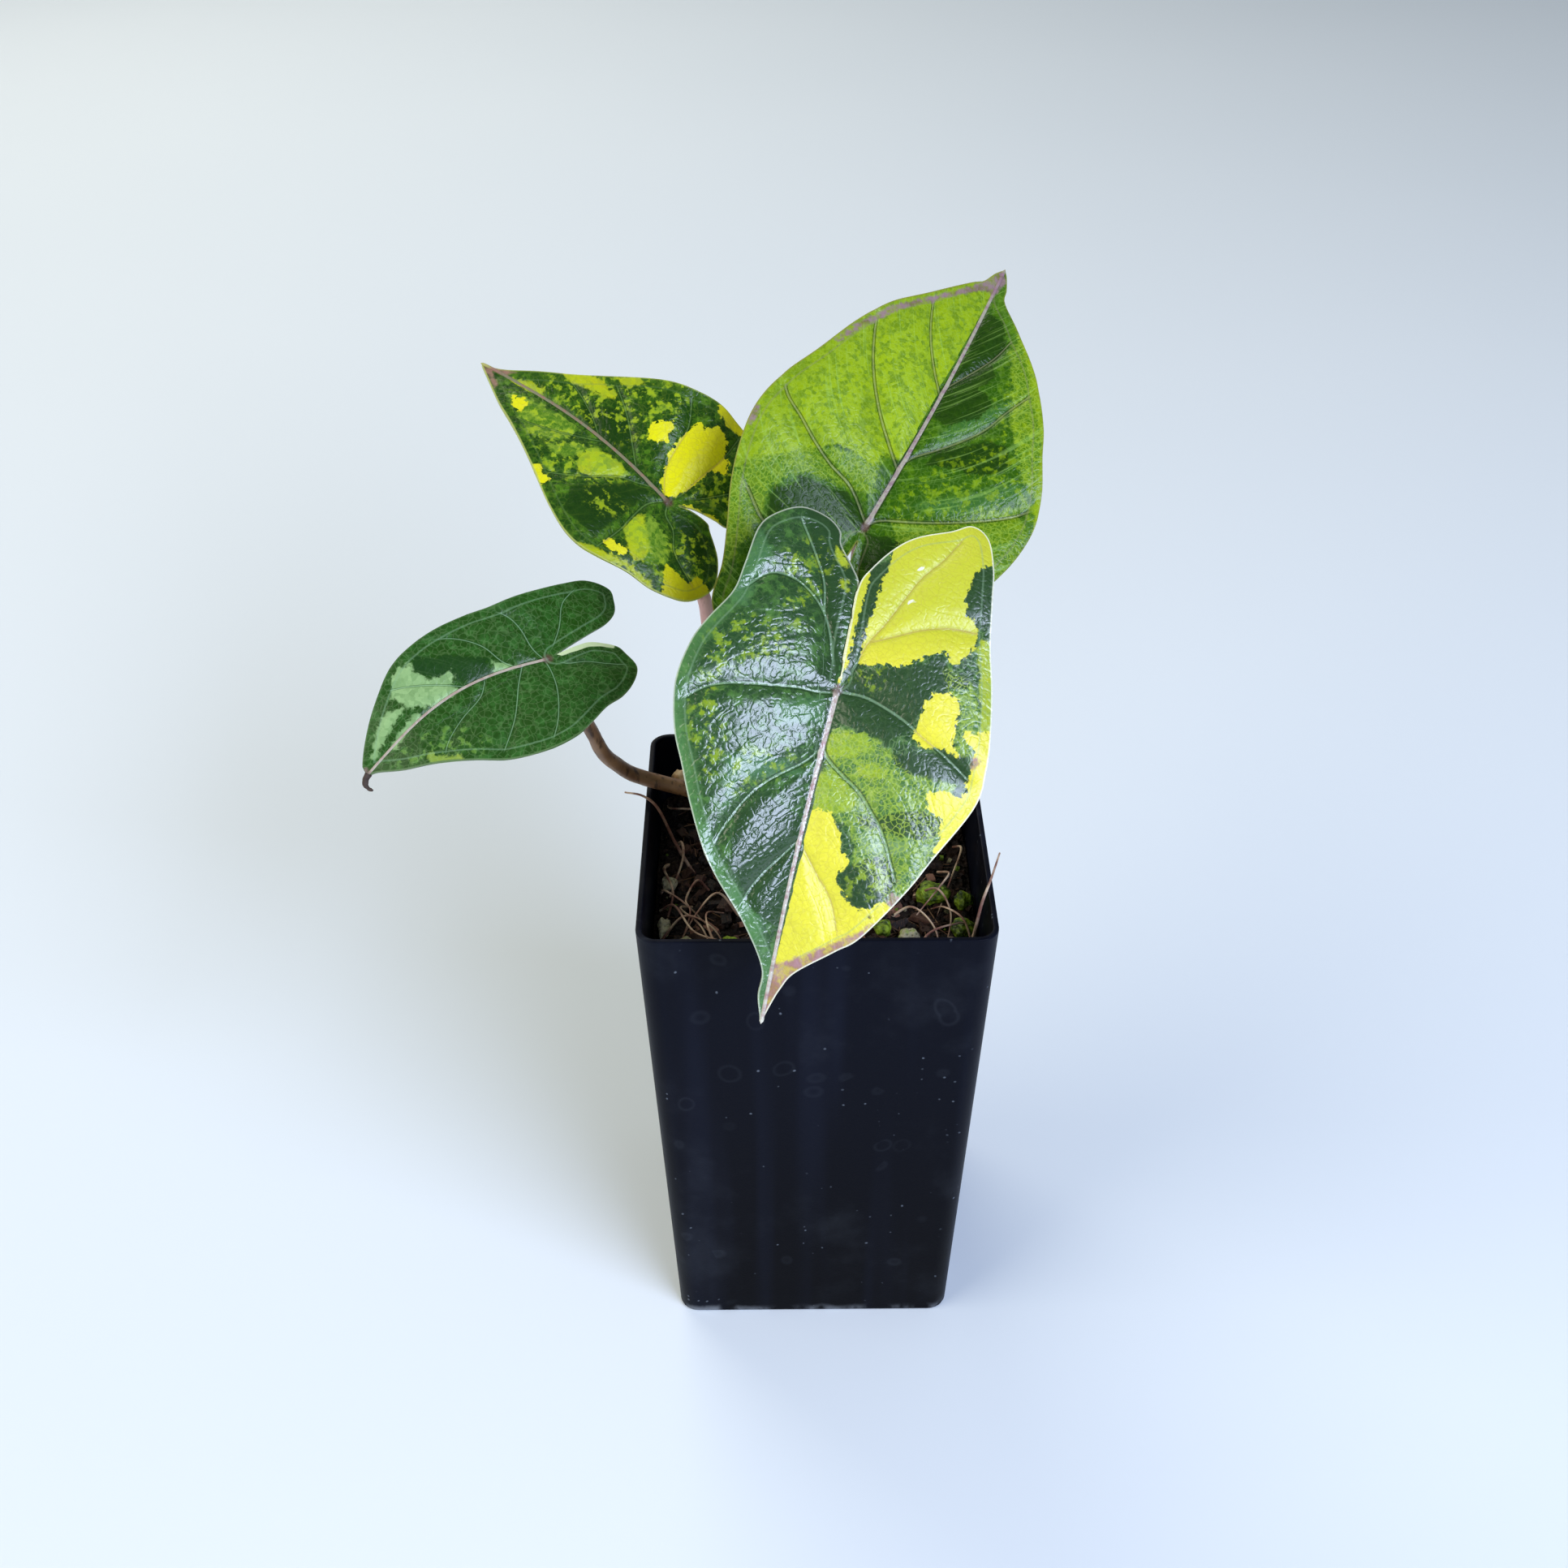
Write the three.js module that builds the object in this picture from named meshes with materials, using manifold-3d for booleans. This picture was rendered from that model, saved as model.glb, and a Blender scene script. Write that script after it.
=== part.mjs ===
// A variegated elephant-ear house plant in a tall square nursery pot.
// Millimetres, +Z up. The origin is the centre of the pot's base, on the surface it stands on,
// and the large front leaf hangs over the pot's -Y side.
import * as THREE from "three";
import { mergeVertices } from "three/addons/utils/BufferGeometryUtils.js";
import Module from "manifold-3d";

// Pot: outer sizes and wall
const POT_HEIGHT = 104.8;
const POT_TOP_WIDTH = 64;
const POT_BASE_WIDTH = 55.1;
const POT_TOP_CORNER = 3.8;
const POT_BASE_CORNER = 2.6;
const POT_INSIDE_CORNER = 0.8;
const POT_WALL = 1.1;
const POT_FLOOR = 1.6;
const FOOT_CHAMFER = 0.6;

// Panel pressed into each side of the pot
const PANEL_HALF_WIDTH = 19.5;
const PANEL_DEPTH = 0.35;
const PANEL_BOTTOM = 6;
const PANEL_TOP = 99.5;
const PANEL_STEP = 0.4;

// Drain holes in the pot's floor
const DRAIN_RADIUS = 4;
const DRAIN_OFFSET = 17;

// Potting mix: its level at the pot's wall, the mound round the stem, hollows, and lumps
const MIX_LEVEL = 92;
const MIX_MOUND = 1.6;
const MOUND_REACH = 14;
const HOLLOW_DEPTH = 0.5;
const MIX_LUMP = 0.7;
const MIX_EDGE_DROP = 0.6;
const MIX_RINGS = 12;

// Bark chips in the mix: how many, and the room left to the pot, to the stem and to other pieces
const CHIP_COUNT = 36;
const CHIP_INSET = 7.5;
const CHIP_STEM_ROOM = 4.5;
const CHIP_ROOM = 4.6;

// Gap kept between pieces that touch, and the leaf blades' thickness
const GAP = 0.3;
const BLADE_THICKNESS = 0.7;

// Top of a stalk: the short neck that turns square to the blade, and the gap left under it
const STALK_NECK = 3;
const NECK_LEAN = 0.06;
const STALK_GAP = 0.6;

// Stem: a corm in the mix, with the leaf sheaths on it
const CORM_RADIUS = 5.6;
const CORM_FOOT = 78;
const CORM_TOP = 93.4;
const CORM_CENTRE = [0, 4];
const CORM_GAP = 0.4;
const STALK_ROOT = 86;
const SHEATH_LENGTH = 13;
const SHEATH_LIP = 0.4;

// Blade mesh: steps along the margin of each half and from vein to margin
const MARGIN_STEPS = 15;
const LOBE_STEPS = 8;
const ACROSS_STEPS = 5;
const VEIN_SOFTNESS = 3;
const RIB_SWEEP = 1.35;

// Each leaf: where its stalk meets the blade, how the blade faces and bends, and its outline in
// the blade's own plane, with u across to the right of the tip's direction and v towards the tip.
// Each half's margin runs from near the tip, past the first side vein and the lobe's end, and
// back to the notch. fold raises the halves from the midrib, arch and lobeArch bend tip and
// lobes down, roll turns the outer blade down, and wave ripples the margin.
const LEAVES = {
  front: {
    hub: [3.2, -20, 149.4],
    azimuth: 8,
    elevation: 45,
    turn: -108.0,
    length: 55.7,
    bow: 0.8,
    shape: {
      fold: 0.2, arch: 0.0042, lobeArch: 0.0065, roll: 0.01, rollFrom: 9,
      wave: 1, pitch: 0.19, phase: 0.4, half: 27,
    },
    right: {
      margin: [
        [1.6, 51.5], [2.1, 47], [6.5, 41], [13, 34.5], [16.5, 30], [20, 23.5], [22.5, 18],
        [25, 12.5], [26.5, 5.5],
      ],
      lobe: [[25.5, -1.7], [23.5, -6.5], [20.5, -12], [19.5, -17.5], [18.5, -24.5]],
      notch: [
        [16, -28], [12, -30.5], [7.5, -30], [5, -28], [4.5, -25.5], [2.2, -22], [0.8, -18.5],
        [0.8, -10], [0.5, -5], [0, -2],
      ],
      basalVein: [[2.5, -11], [11, -18.5]],
    },
    left: {
      margin: [
        [-0.8, 52.5], [-1.8, 49.5], [-3.5, 46.5], [-9, 42], [-12.5, 39], [-18, 30.5], [-21, 24.5],
        [-26, 14.5], [-26.5, 8],
      ],
      lobe: [[-26, 1.2], [-25, -6], [-23.5, -13], [-22.5, -21], [-22, -26.5], [-20.5, -32.5]],
      notch: [
        [-17.5, -34.5], [-14, -32.5], [-8.5, -30], [-5, -27], [-1.8, -22.5], [-0.1, -18.5],
        [0, -10], [0, -5], [0, -2],
      ],
      basalVein: [[-2.5, -12], [-12, -23.5]],
    },
    stalk: [[0, 1.5, 98], [0.3, -3, 112], [1.2, -9, 126], [2.3, -14.6, 138.5]],
    stalkRadius: [2.3, 1.5],
  },
  upper: {
    hub: [8.9, 14, 161.1],
    azimuth: 6,
    elevation: 44,
    turn: 57.7,
    length: 61.0,
    bow: 0.8,
    shape: {
      fold: 0.17, arch: 0.0036, lobeArch: 0.0065, roll: 0.006, rollFrom: 10,
      wave: 1, pitch: 0.17, phase: 1.3, half: 27,
    },
    right: {
      margin: [
        [1, 59.5], [2.2, 56.5], [3.1, 53.5], [8, 48.5], [14.5, 41], [19.5, 32.5], [22, 26.5],
        [25, 20], [26.5, 14],
      ],
      lobe: [[26, 7], [24, -0.1], [21.5, -7], [20, -14], [19, -20], [17, -25.5]],
      notch: [
        [12.5, -28.5], [8.5, -27.5], [5, -24.5], [2.4, -20], [1.2, -14], [0.7, -9], [0.4, -6],
        [0, -3],
      ],
      basalVein: [[2.5, -11], [10.5, -19.5]],
    },
    left: {
      margin: [
        [-1.3, 59], [-2.5, 56], [-4.5, 54], [-11, 46], [-15.5, 40.5], [-19, 34], [-22.5, 25],
        [-25.5, 17.5], [-27, 10],
      ],
      lobe: [[-26.5, 3.1], [-24.5, -4.5], [-21.5, -11.5], [-19, -18], [-17.5, -24.5]],
      notch: [
        [-12.5, -28.5], [-9, -28], [-5.5, -25.5], [-2.9, -20.5], [-1.2, -14], [-0.6, -9],
        [-0.3, -6], [0, -3],
      ],
      basalVein: [[-2.5, -11], [-10.5, -19]],
    },
    stalk: [[3.5, 6, 98], [5.5, 11, 117], [7.4, 17.5, 142], [8.2, 18.4, 153]],
    stalkRadius: [2.4, 1.5],
  },
  back: {
    hub: [-26.2, 26, 159.9],
    azimuth: 25,
    elevation: 50,
    turn: 120.3,
    length: 44.1,
    bow: 1.3,
    shape: {
      fold: 0.18, arch: 0.005, lobeArch: 0.009, roll: 0.008, rollFrom: 8,
      wave: 0.8, pitch: 0.24, phase: 2.2, half: 19,
    },
    right: {
      margin: [[0.4, 42], [1.5, 39.5], [4.5, 35], [9, 28], [13.5, 22], [17.5, 16], [20, 10.5]],
      lobe: [[21.5, 5.5], [21, 1.2], [20, -3.1], [18, -7.5]],
      notch: [
        [16, -11], [12, -12.5], [8, -12.5], [4.5, -11], [3.7, -8.5], [3.1, -6.5], [2.2, -4],
        [0.8, -1.8],
      ],
      basalVein: [[4.5, -3.5], [12, -7]],
    },
    left: {
      margin: [[-2, 41], [-5.5, 35.5], [-8, 30.5], [-12.5, 22], [-16.5, 15], [-19, 9.5], [-19.5, 5.5]],
      lobe: [[-18.5, 1.7], [-16.5, -3.7], [-15.5, -9], [-13, -14]],
      notch: [
        [-10, -16], [-6.5, -16.5], [-3.8, -15.5], [-0.9, -13], [1.4, -9], [2.2, -7.5], [1.7, -4],
        [0.8, -1.8],
      ],
      basalVein: [[-3, -3.5], [-8, -9.5]],
    },
    stalk: [[-1.5, 8.5, 98], [-9.5, 14, 116], [-18.6, 19, 134], [-20.3, 21.5, 143]],
    stalkRadius: [2, 1.2],
  },
  low: {
    hub: [-47.7, 5, 139.8],
    azimuth: 30,
    elevation: 60,
    turn: -169.3,
    length: 36.7,
    bow: 3.2,
    shape: {
      fold: 0.16, arch: 0.0075, lobeArch: 0.01, roll: 0.01, rollFrom: 7,
      wave: 0.7, pitch: 0.28, phase: 0.9, half: 16,
    },
    right: {
      margin: [[1.6, 36.5], [5, 34], [9, 30], [13, 24.5], [14.5, 19], [15, 13.5], [14.5, 8.5]],
      lobe: [[13.5, 3.9], [13, -0.6], [12.5, -5.5], [12, -11], [11, -16]],
      notch: [[8, -19.5], [5.5, -19], [3.2, -17.5], [1.7, -14.5], [1, -10], [0.5, -6], [0, -1.6]],
      basalVein: [[3, -3], [7, -11]],
    },
    left: {
      margin: [[-0.6, 35], [-3.2, 31.5], [-6, 26.5], [-9.5, 21.5], [-13, 16.5], [-15.5, 10], [-16, 5]],
      lobe: [[-15, 1], [-13.5, -3.5], [-13, -7.5], [-11.5, -11], [-9, -13.5]],
      notch: [[-5.5, -13.5], [-3.5, -13], [-1.5, -10.5], [-0.5, -8.5], [-0.2, -6], [-0.1, -4], [0, -1.6]],
      basalVein: [[-3, -2.5], [-5.8, -8.2]],
    },
    stalk: [
      [-4, 3.5, 97.5], [-13, 8, 101.5], [-22, 11.5, 105], [-28.8, 13, 106.4], [-31.4, 13, 107.2],
      [-34.4, 12, 109.3], [-36.7, 10, 112.6], [-39.1, 8, 116.8], [-41.4, 5.8, 124.6], [-44.4, 5, 131.5],
    ],
    stalkRadius: [1.75, 1.25],
  },
};

// Dry stub of an older leaf's stalk, lying from the stem to the pot's left wall
const STUB_PATH = [[-7.2, 9.8, 95.6], [-15, 14.5, 97.2], [-23, 19, 100.4], [-27, 21.3, 102.8]];
const STUB_RADIUS = 2;

// Loose pumice grains: place and half sizes along X, Y and Z
const GRAINS = [
  { at: [22.2, -4.8, 93.2], size: [3.2, 2.6, 2], green: true },
  { at: [28, -7, 93], size: [1.8, 2, 1.7], green: true },
  { at: [27.2, -15, 93], size: [2.4, 2, 1.7], green: true },
  { at: [12.6, -15, 93.2], size: [1.7, 1.5, 1.4], green: true },
  { at: [17.2, -17, 93], size: [1.9, 1.6, 1.5], green: false },
  { at: [-28, -14.5, 93.2], size: [1.2, 2.4, 1.3], green: false },
  { at: [-23.8, -18.6, 93], size: [1.6, 1.4, 1.3], green: false },
  { at: [-15.8, -18.4, 93], size: [1.5, 1.3, 1.3], green: true },
  { at: [-27.6, -1.5, 93], size: [1.5, 1.6, 1.3], green: false },
  { at: [8, 22, 93], size: [2.4, 2, 1.6], green: true },
  { at: [-13, 25, 92.8], size: [1.8, 1.6, 1.4], green: false },
];
const GRAIN_BUMP = 0.1;

// Fine roots that arch out of the mix; two of them pass over the rim
const ROOTS = [
  { path: [[-23, 4, 91], [-26.5, 5.2, 98], [-30, 7.4, 105.2], [-32.5, 8.6, 106.6], [-36, 10.7, 105.9]] },
  { path: [[26, -25, 91], [28, -24, 98], [29.6, -21.5, 104.6], [31.4, -17.5, 106.6], [33.6, -11, 107.6]] },
  { path: [[-27, 12, 91], [-25.5, 9, 95], [-25, 3, 95.6], [-27.5, -3, 91]] },
  { path: [[-28, 7, 91], [-28.5, 1, 94.6], [-26.5, -7, 95.2], [-28, -12, 91]] },
  { path: [[-22, -6, 91], [-25, -11, 95], [-21, -16, 94.8], [-18, -22, 91]] },
  { path: [[27.5, 12, 91], [28.6, 6, 95.4], [26.5, -1, 95], [23, -9, 91]] },
  { path: [[20, -21, 91], [24, -20, 95], [28, -21.5, 94.6], [29, -24, 91]] },
  { path: [[14, -9.5, 91], [18, -11, 95], [22, -17, 94.6], [22.5, -23, 91]] },
];
const ROOT_RADIUS = 0.45;
const ROOT_TAPER = 0.3;

const UP = new THREE.Vector3(0, 0, 1);
const wasm = await Module();
wasm.setup();

// A repeatable stream of numbers from 0 to 1
function randomFrom(seed) {
  let state = seed;
  return () => {
    state = (state * 1664525 + 1013904223) % 4294967296;
    return state / 4294967296;
  };
}

// Closed geometry from points and triangles, without triangles that have shrunk to a line
function closedGeometry(points, triangles) {
  const position = [];
  for (const triangle of triangles) {
    for (const corner of triangle) position.push(...points[corner].toArray());
  }
  const loose = new THREE.BufferGeometry();
  loose.setAttribute("position", new THREE.Float32BufferAttribute(position, 3));
  const merged = mergeVertices(loose, 1e-4);
  const kept = [];
  const index = merged.index.array;
  for (let i = 0; i < index.length; i += 3) {
    const [a, b, c] = [index[i], index[i + 1], index[i + 2]];
    if (a !== b && b !== c && c !== a) kept.push(a, b, c);
  }
  merged.setIndex(kept);
  return merged;
}

// Closed skin through a stack of rings, each counterclockwise seen from the stack's far end,
// with a point closing each end
function ringStack(first, rings, last) {
  const points = [first, ...rings.flat(), last];
  const count = rings[0].length;
  const triangles = [];
  const at = (ring, i) => 1 + ring * count + (i % count);
  for (let i = 0; i < count; i++) {
    triangles.push([0, at(0, i + 1), at(0, i)]);
    for (let ring = 0; ring + 1 < rings.length; ring++) {
      triangles.push([at(ring, i), at(ring, i + 1), at(ring + 1, i + 1)]);
      triangles.push([at(ring, i), at(ring + 1, i + 1), at(ring + 1, i)]);
    }
    triangles.push([points.length - 1, at(rings.length - 1, i), at(rings.length - 1, i + 1)]);
  }
  return closedGeometry(points, triangles);
}

function toSolid(geometry) {
  const bare = geometry.clone();
  bare.deleteAttribute("normal");
  bare.deleteAttribute("uv");
  const merged = mergeVertices(bare, 1e-4);
  return new wasm.Manifold(
    new wasm.Mesh({
      numProp: 3,
      vertProperties: new Float32Array(merged.attributes.position.array),
      triVerts: new Uint32Array(merged.index.array),
    }),
  );
}

function toGeometry(solid) {
  const mesh = solid.getMesh();
  const geometry = new THREE.BufferGeometry();
  geometry.setAttribute("position", new THREE.Float32BufferAttribute(mesh.vertProperties, 3));
  geometry.setIndex(Array.from(mesh.triVerts));
  return geometry;
}

// The largest body of a solid, without the scraps that a cut leaves
function largestBody(solid) {
  const bodies = solid.decompose();
  return bodies.reduce((best, body) => (body.volume() > best.volume() ? body : best));
}

// A limb of round section along part of a curve, from one share of its length to another
function limb(curve, from, to, radiusAt, sides, steps) {
  const rings = [];
  const across = new THREE.Vector3(1, 0.2, 0);
  for (let step = 0; step <= steps; step++) {
    const share = from + ((to - from) * step) / steps;
    const centre = curve.getPointAt(share);
    const along = curve.getTangentAt(share);
    across.addScaledVector(along, -across.dot(along)).normalize();
    const second = new THREE.Vector3().crossVectors(along, across);
    const radius = radiusAt(step / steps);
    const ring = [];
    for (let side = 0; side < sides; side++) {
      const angle = (2 * Math.PI * side) / sides;
      const point = centre.clone();
      point.addScaledVector(across, radius * Math.cos(angle));
      point.addScaledVector(second, radius * Math.sin(angle));
      ring.push(point);
    }
    rings.push(ring);
  }
  return ringStack(curve.getPointAt(from), rings, curve.getPointAt(to));
}

const curveThrough = (points) =>
  new THREE.CatmullRomCurve3(points.map((point) => new THREE.Vector3(...point)), false, "centripetal");

// Rounded square with a shallow step in the middle of each side, counterclockwise from above
function squareOutline(z, half, corner, recess) {
  const cornerSteps = 4;
  const points = [];
  for (let side = 0; side < 4; side++) {
    const turn = (side * Math.PI) / 2;
    const place = (along, out) => {
      const point = new THREE.Vector3(along, -out, z);
      points.push(point.applyAxisAngle(UP, turn));
    };
    place(-PANEL_HALF_WIDTH - PANEL_STEP, half);
    place(-PANEL_HALF_WIDTH, half - recess);
    place(PANEL_HALF_WIDTH, half - recess);
    place(PANEL_HALF_WIDTH + PANEL_STEP, half);
    for (let step = 0; step <= cornerSteps; step++) {
      const angle = (step / cornerSteps) * (Math.PI / 2);
      place(half - corner + corner * Math.sin(angle), half - corner + corner * Math.cos(angle));
    }
  }
  return points;
}

const atHeight = (z, base, top) => base + ((top - base) * z) / POT_HEIGHT;

function potOutline(z, inset, recess) {
  const half = atHeight(z, POT_BASE_WIDTH / 2, POT_TOP_WIDTH / 2) - inset;
  const corner = atHeight(z, POT_BASE_CORNER, POT_TOP_CORNER) - inset;
  return squareOutline(z, half, Math.max(corner, POT_INSIDE_CORNER), recess);
}

function potGeometry() {
  const rings = [
    potOutline(0, FOOT_CHAMFER, 0),
    potOutline(FOOT_CHAMFER, 0, 0),
    potOutline(PANEL_BOTTOM, 0, 0),
    potOutline(PANEL_BOTTOM + PANEL_STEP, 0, PANEL_DEPTH),
    potOutline(PANEL_TOP - PANEL_STEP, 0, PANEL_DEPTH),
    potOutline(PANEL_TOP, 0, 0),
    potOutline(POT_HEIGHT, 0, 0),
    potOutline(POT_HEIGHT, POT_WALL, 0),
    potOutline(POT_FLOOR, POT_WALL, 0),
  ];
  const shell = ringStack(new THREE.Vector3(0, 0, 0), rings, new THREE.Vector3(0, 0, POT_FLOOR));
  let pot = toSolid(shell);
  for (const x of [-DRAIN_OFFSET, DRAIN_OFFSET]) {
    for (const y of [-DRAIN_OFFSET, DRAIN_OFFSET]) {
      const hole = new THREE.CylinderGeometry(DRAIN_RADIUS, DRAIN_RADIUS, 4 * POT_FLOOR, 20);
      hole.rotateX(Math.PI / 2);
      hole.translate(x, y, 0);
      pot = pot.subtract(toSolid(hole));
    }
  }
  return toGeometry(pot);
}

// Height of the mix: a low mound round the stem, with soft hollows
function mixHeight(x, y) {
  const fromStem = Math.hypot(x - CORM_CENTRE[0], y - CORM_CENTRE[1]);
  const mound = MIX_MOUND * Math.exp(-((fromStem / MOUND_REACH) ** 2));
  const hollow = HOLLOW_DEPTH * Math.sin(0.33 * x + 1) * Math.cos(0.29 * y + 0.4);
  return MIX_LEVEL + mound + hollow;
}

function mixBody() {
  const random = randomFrom(11);
  const outlineAt = (z) => potOutline(z, POT_WALL + GAP, 0);
  const edge = outlineAt(MIX_LEVEL);
  const edgeHeights = edge.map((point) => mixHeight(point.x, point.y) - MIX_EDGE_DROP);
  const rings = [outlineAt(POT_FLOOR + GAP), edgeHeights.map((z, index) => outlineAt(z)[index])];
  for (let step = 1; step < MIX_RINGS; step++) {
    const share = 1 - step / MIX_RINGS;
    const ring = edge.map((point) => {
      const [x, y] = [point.x * share, point.y * share];
      const lump = MIX_LUMP * (2 * random() - 1) * Math.min(1, 3 * share);
      return new THREE.Vector3(x, y, mixHeight(x, y) + lump);
    });
    rings.push(ring);
  }
  const foot = new THREE.Vector3(0, 0, POT_FLOOR + GAP);
  return toSolid(ringStack(foot, rings, new THREE.Vector3(0, 0, mixHeight(0, 0))));
}

// One bark chip: a flat uneven block, half sunk in the mix
function barkChip(random) {
  const reach = POT_TOP_WIDTH / 2 - CHIP_INSET;
  const x = reach * (2 * random() - 1);
  const y = reach * (2 * random() - 1);
  const chip = new THREE.BoxGeometry(2.2 + 4 * random(), 1.4 + 1.6 * random(), 1.6 + 0.8 * random());
  const tilt = new THREE.Euler(0.5 * (random() - 0.5), 0.9 * (random() - 0.5), Math.PI * random());
  chip.applyMatrix4(new THREE.Matrix4().makeRotationFromEuler(tilt));
  chip.translate(x, y, mixHeight(x, y) + 0.5);
  return { x, y, solid: toSolid(chip) };
}

function rootSolid(root) {
  const curve = curveThrough(root.path);
  return toSolid(limb(curve, 0, 1, (share) => ROOT_RADIUS * (1 - ROOT_TAPER * share), 5, 9));
}

// One grain: a rounded, uneven stone. Extra size makes the dent that it lies in.
function grainGeometry(grain, extra) {
  const stone = new THREE.IcosahedronGeometry(1, 1);
  const position = stone.attributes.position;
  const point = new THREE.Vector3();
  for (let i = 0; i < position.count; i++) {
    point.fromBufferAttribute(position, i).normalize();
    const bumps = Math.sin(5 * point.x + grain.at[0]) + Math.cos(4 * point.y + grain.at[1]);
    const uneven = 1 + GRAIN_BUMP * bumps;
    position.setXYZ(
      i,
      grain.at[0] + point.x * (grain.size[0] * uneven + extra),
      grain.at[1] + point.y * (grain.size[1] * uneven + extra),
      grain.at[2] + point.z * (grain.size[2] * uneven + extra),
    );
  }
  stone.deleteAttribute("normal");
  stone.deleteAttribute("uv");
  return mergeVertices(stone, 1e-4);
}

// The corm with room added round it, and its plain hole up through the mix
function cormHole() {
  const profile = [
    [0, CORM_FOOT - CORM_GAP],
    [CORM_RADIUS * 0.6, CORM_FOOT - CORM_GAP],
    [CORM_RADIUS + CORM_GAP, CORM_FOOT + 4],
    [CORM_RADIUS + CORM_GAP, CORM_TOP - 4],
    [CORM_RADIUS + 3 * CORM_GAP, CORM_TOP + 8],
    [0, CORM_TOP + 8],
  ];
  const hole = new THREE.LatheGeometry(profile.map(([r, z]) => new THREE.Vector2(r, z)), 24);
  hole.rotateX(Math.PI / 2);
  hole.translate(CORM_CENTRE[0], CORM_CENTRE[1], 0);
  return toSolid(hole);
}

// Rounded old stub; extra size makes the dent that it lies in
function stubGeometry(extra) {
  const curve = curveThrough(STUB_PATH);
  const endRound = (share) => Math.sqrt(Math.max(0.05, 1 - Math.max(0, (share - 0.93) / 0.07) ** 2));
  return limb(curve, 0, 1, (share) => (STUB_RADIUS - 0.3 * share) * endRound(share) + extra, 10, 24);
}

function mixGeometry() {
  let mix = mixBody();
  const random = randomFrom(29);
  const clearOf = [...GRAINS.map((grain) => grain.at), ...STUB_PATH];
  for (let count = 0; count < CHIP_COUNT; ) {
    const chip = barkChip(random);
    const near = clearOf.some(([x, y]) => Math.hypot(chip.x - x, chip.y - y) < CHIP_ROOM);
    const fromStem = Math.hypot(chip.x - CORM_CENTRE[0], chip.y - CORM_CENTRE[1]);
    if (near || fromStem < CORM_RADIUS + CHIP_STEM_ROOM) continue;
    mix = mix.add(chip.solid);
    count++;
  }
  for (const root of ROOTS) mix = mix.add(rootSolid(root));
  mix = mix.subtract(cormHole());
  mix = mix.subtract(toSolid(stubGeometry(GAP)));
  for (const grain of GRAINS) mix = mix.subtract(toSolid(grainGeometry(grain, GAP)));
  return toGeometry(largestBody(mix));
}

// Axes of a blade: across to the right, along to the tip, and out of its upper face
function bladeAxes(leaf) {
  const azimuth = THREE.MathUtils.degToRad(leaf.azimuth);
  const elevation = THREE.MathUtils.degToRad(leaf.elevation);
  const turn = THREE.MathUtils.degToRad(leaf.turn);
  const level = Math.cos(elevation);
  const out = new THREE.Vector3(level * Math.sin(azimuth), -level * Math.cos(azimuth), Math.sin(elevation));
  const side = new THREE.Vector3(Math.cos(azimuth), Math.sin(azimuth), 0);
  const rise = new THREE.Vector3().crossVectors(out, side);
  const along = side.clone().multiplyScalar(Math.cos(turn)).addScaledVector(rise, Math.sin(turn));
  const across = side.clone().multiplyScalar(Math.sin(turn)).addScaledVector(rise, -Math.cos(turn));
  return { across, along, out };
}

// How far the blade stands out of its plane at u, v
function bladeHeight(shape, u, v) {
  const valley = shape.fold * (Math.hypot(u, VEIN_SOFTNESS) - VEIN_SOFTNESS);
  const arch = (v > 0 ? shape.arch : shape.lobeArch) * v * v;
  const roll = shape.roll * Math.max(0, Math.abs(u) - shape.rollFrom) ** 2;
  const reach = Math.min(1.2, Math.abs(u) / shape.half);
  const ripple = shape.wave * Math.sin(shape.pitch * v + shape.phase * (Math.sign(u) + 1)) * reach ** 2;
  return valley - arch - roll + ripple;
}

// Where a margin that falls steadily from the tip has fallen to a share of the way up from low
function indexAtHeight(edgeAt, low, high, share, lastIndex) {
  const wanted = low + (high - low) * share;
  let [above, below] = [0, lastIndex];
  for (let halving = 0; halving < 30; halving++) {
    const middle = (above + below) / 2;
    if (edgeAt(middle).y > wanted) above = middle;
    else below = middle;
  }
  return share === 1 ? 0 : below;
}

// Rows of points from vein to margin for one half of a blade
function bladeRows(leaf, half) {
  const outline = [[0, leaf.length], ...half.margin, ...half.lobe, ...half.notch];
  const spline = new THREE.SplineCurve(outline.map(([u, v]) => new THREE.Vector2(u, v)));
  const last = outline.length - 1;
  const veinEnd = half.margin.length;
  const lobeEnd = veinEnd + half.lobe.length;
  const edgeAt = (index) => spline.getPoint(index / last);
  const vein = new THREE.QuadraticBezierCurve(
    new THREE.Vector2(0, 0),
    new THREE.Vector2(...half.basalVein[0]),
    new THREE.Vector2(...half.basalVein[1]),
  );
  const midrib = (v) => new THREE.Vector2(leaf.bow * Math.sin((Math.PI * v) / leaf.length), v);
  const rows = [];
  const addRow = (start, edge) => {
    const row = [];
    for (let step = 0; step <= ACROSS_STEPS; step++) {
      row.push(new THREE.Vector2().lerpVectors(start, edge, step / ACROSS_STEPS));
    }
    rows.push(row);
  };
  for (let step = 0; step <= MARGIN_STEPS; step++) {
    const share = 1 - step / MARGIN_STEPS;
    const edge = edgeAt(indexAtHeight(edgeAt, edgeAt(veinEnd).y, leaf.length, share, veinEnd));
    addRow(midrib(leaf.length * share ** RIB_SWEEP), edge);
  }
  for (let step = 1; step <= LOBE_STEPS; step++) {
    const edge = edgeAt(veinEnd + ((lobeEnd - veinEnd) * step) / LOBE_STEPS);
    addRow(vein.getPoint(step / LOBE_STEPS), edge);
  }
  for (let step = 1; step <= LOBE_STEPS; step++) {
    const edge = edgeAt(lobeEnd + ((last - lobeEnd) * step) / LOBE_STEPS);
    addRow(vein.getPoint(1 - step / LOBE_STEPS), edge);
  }
  return rows;
}

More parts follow.
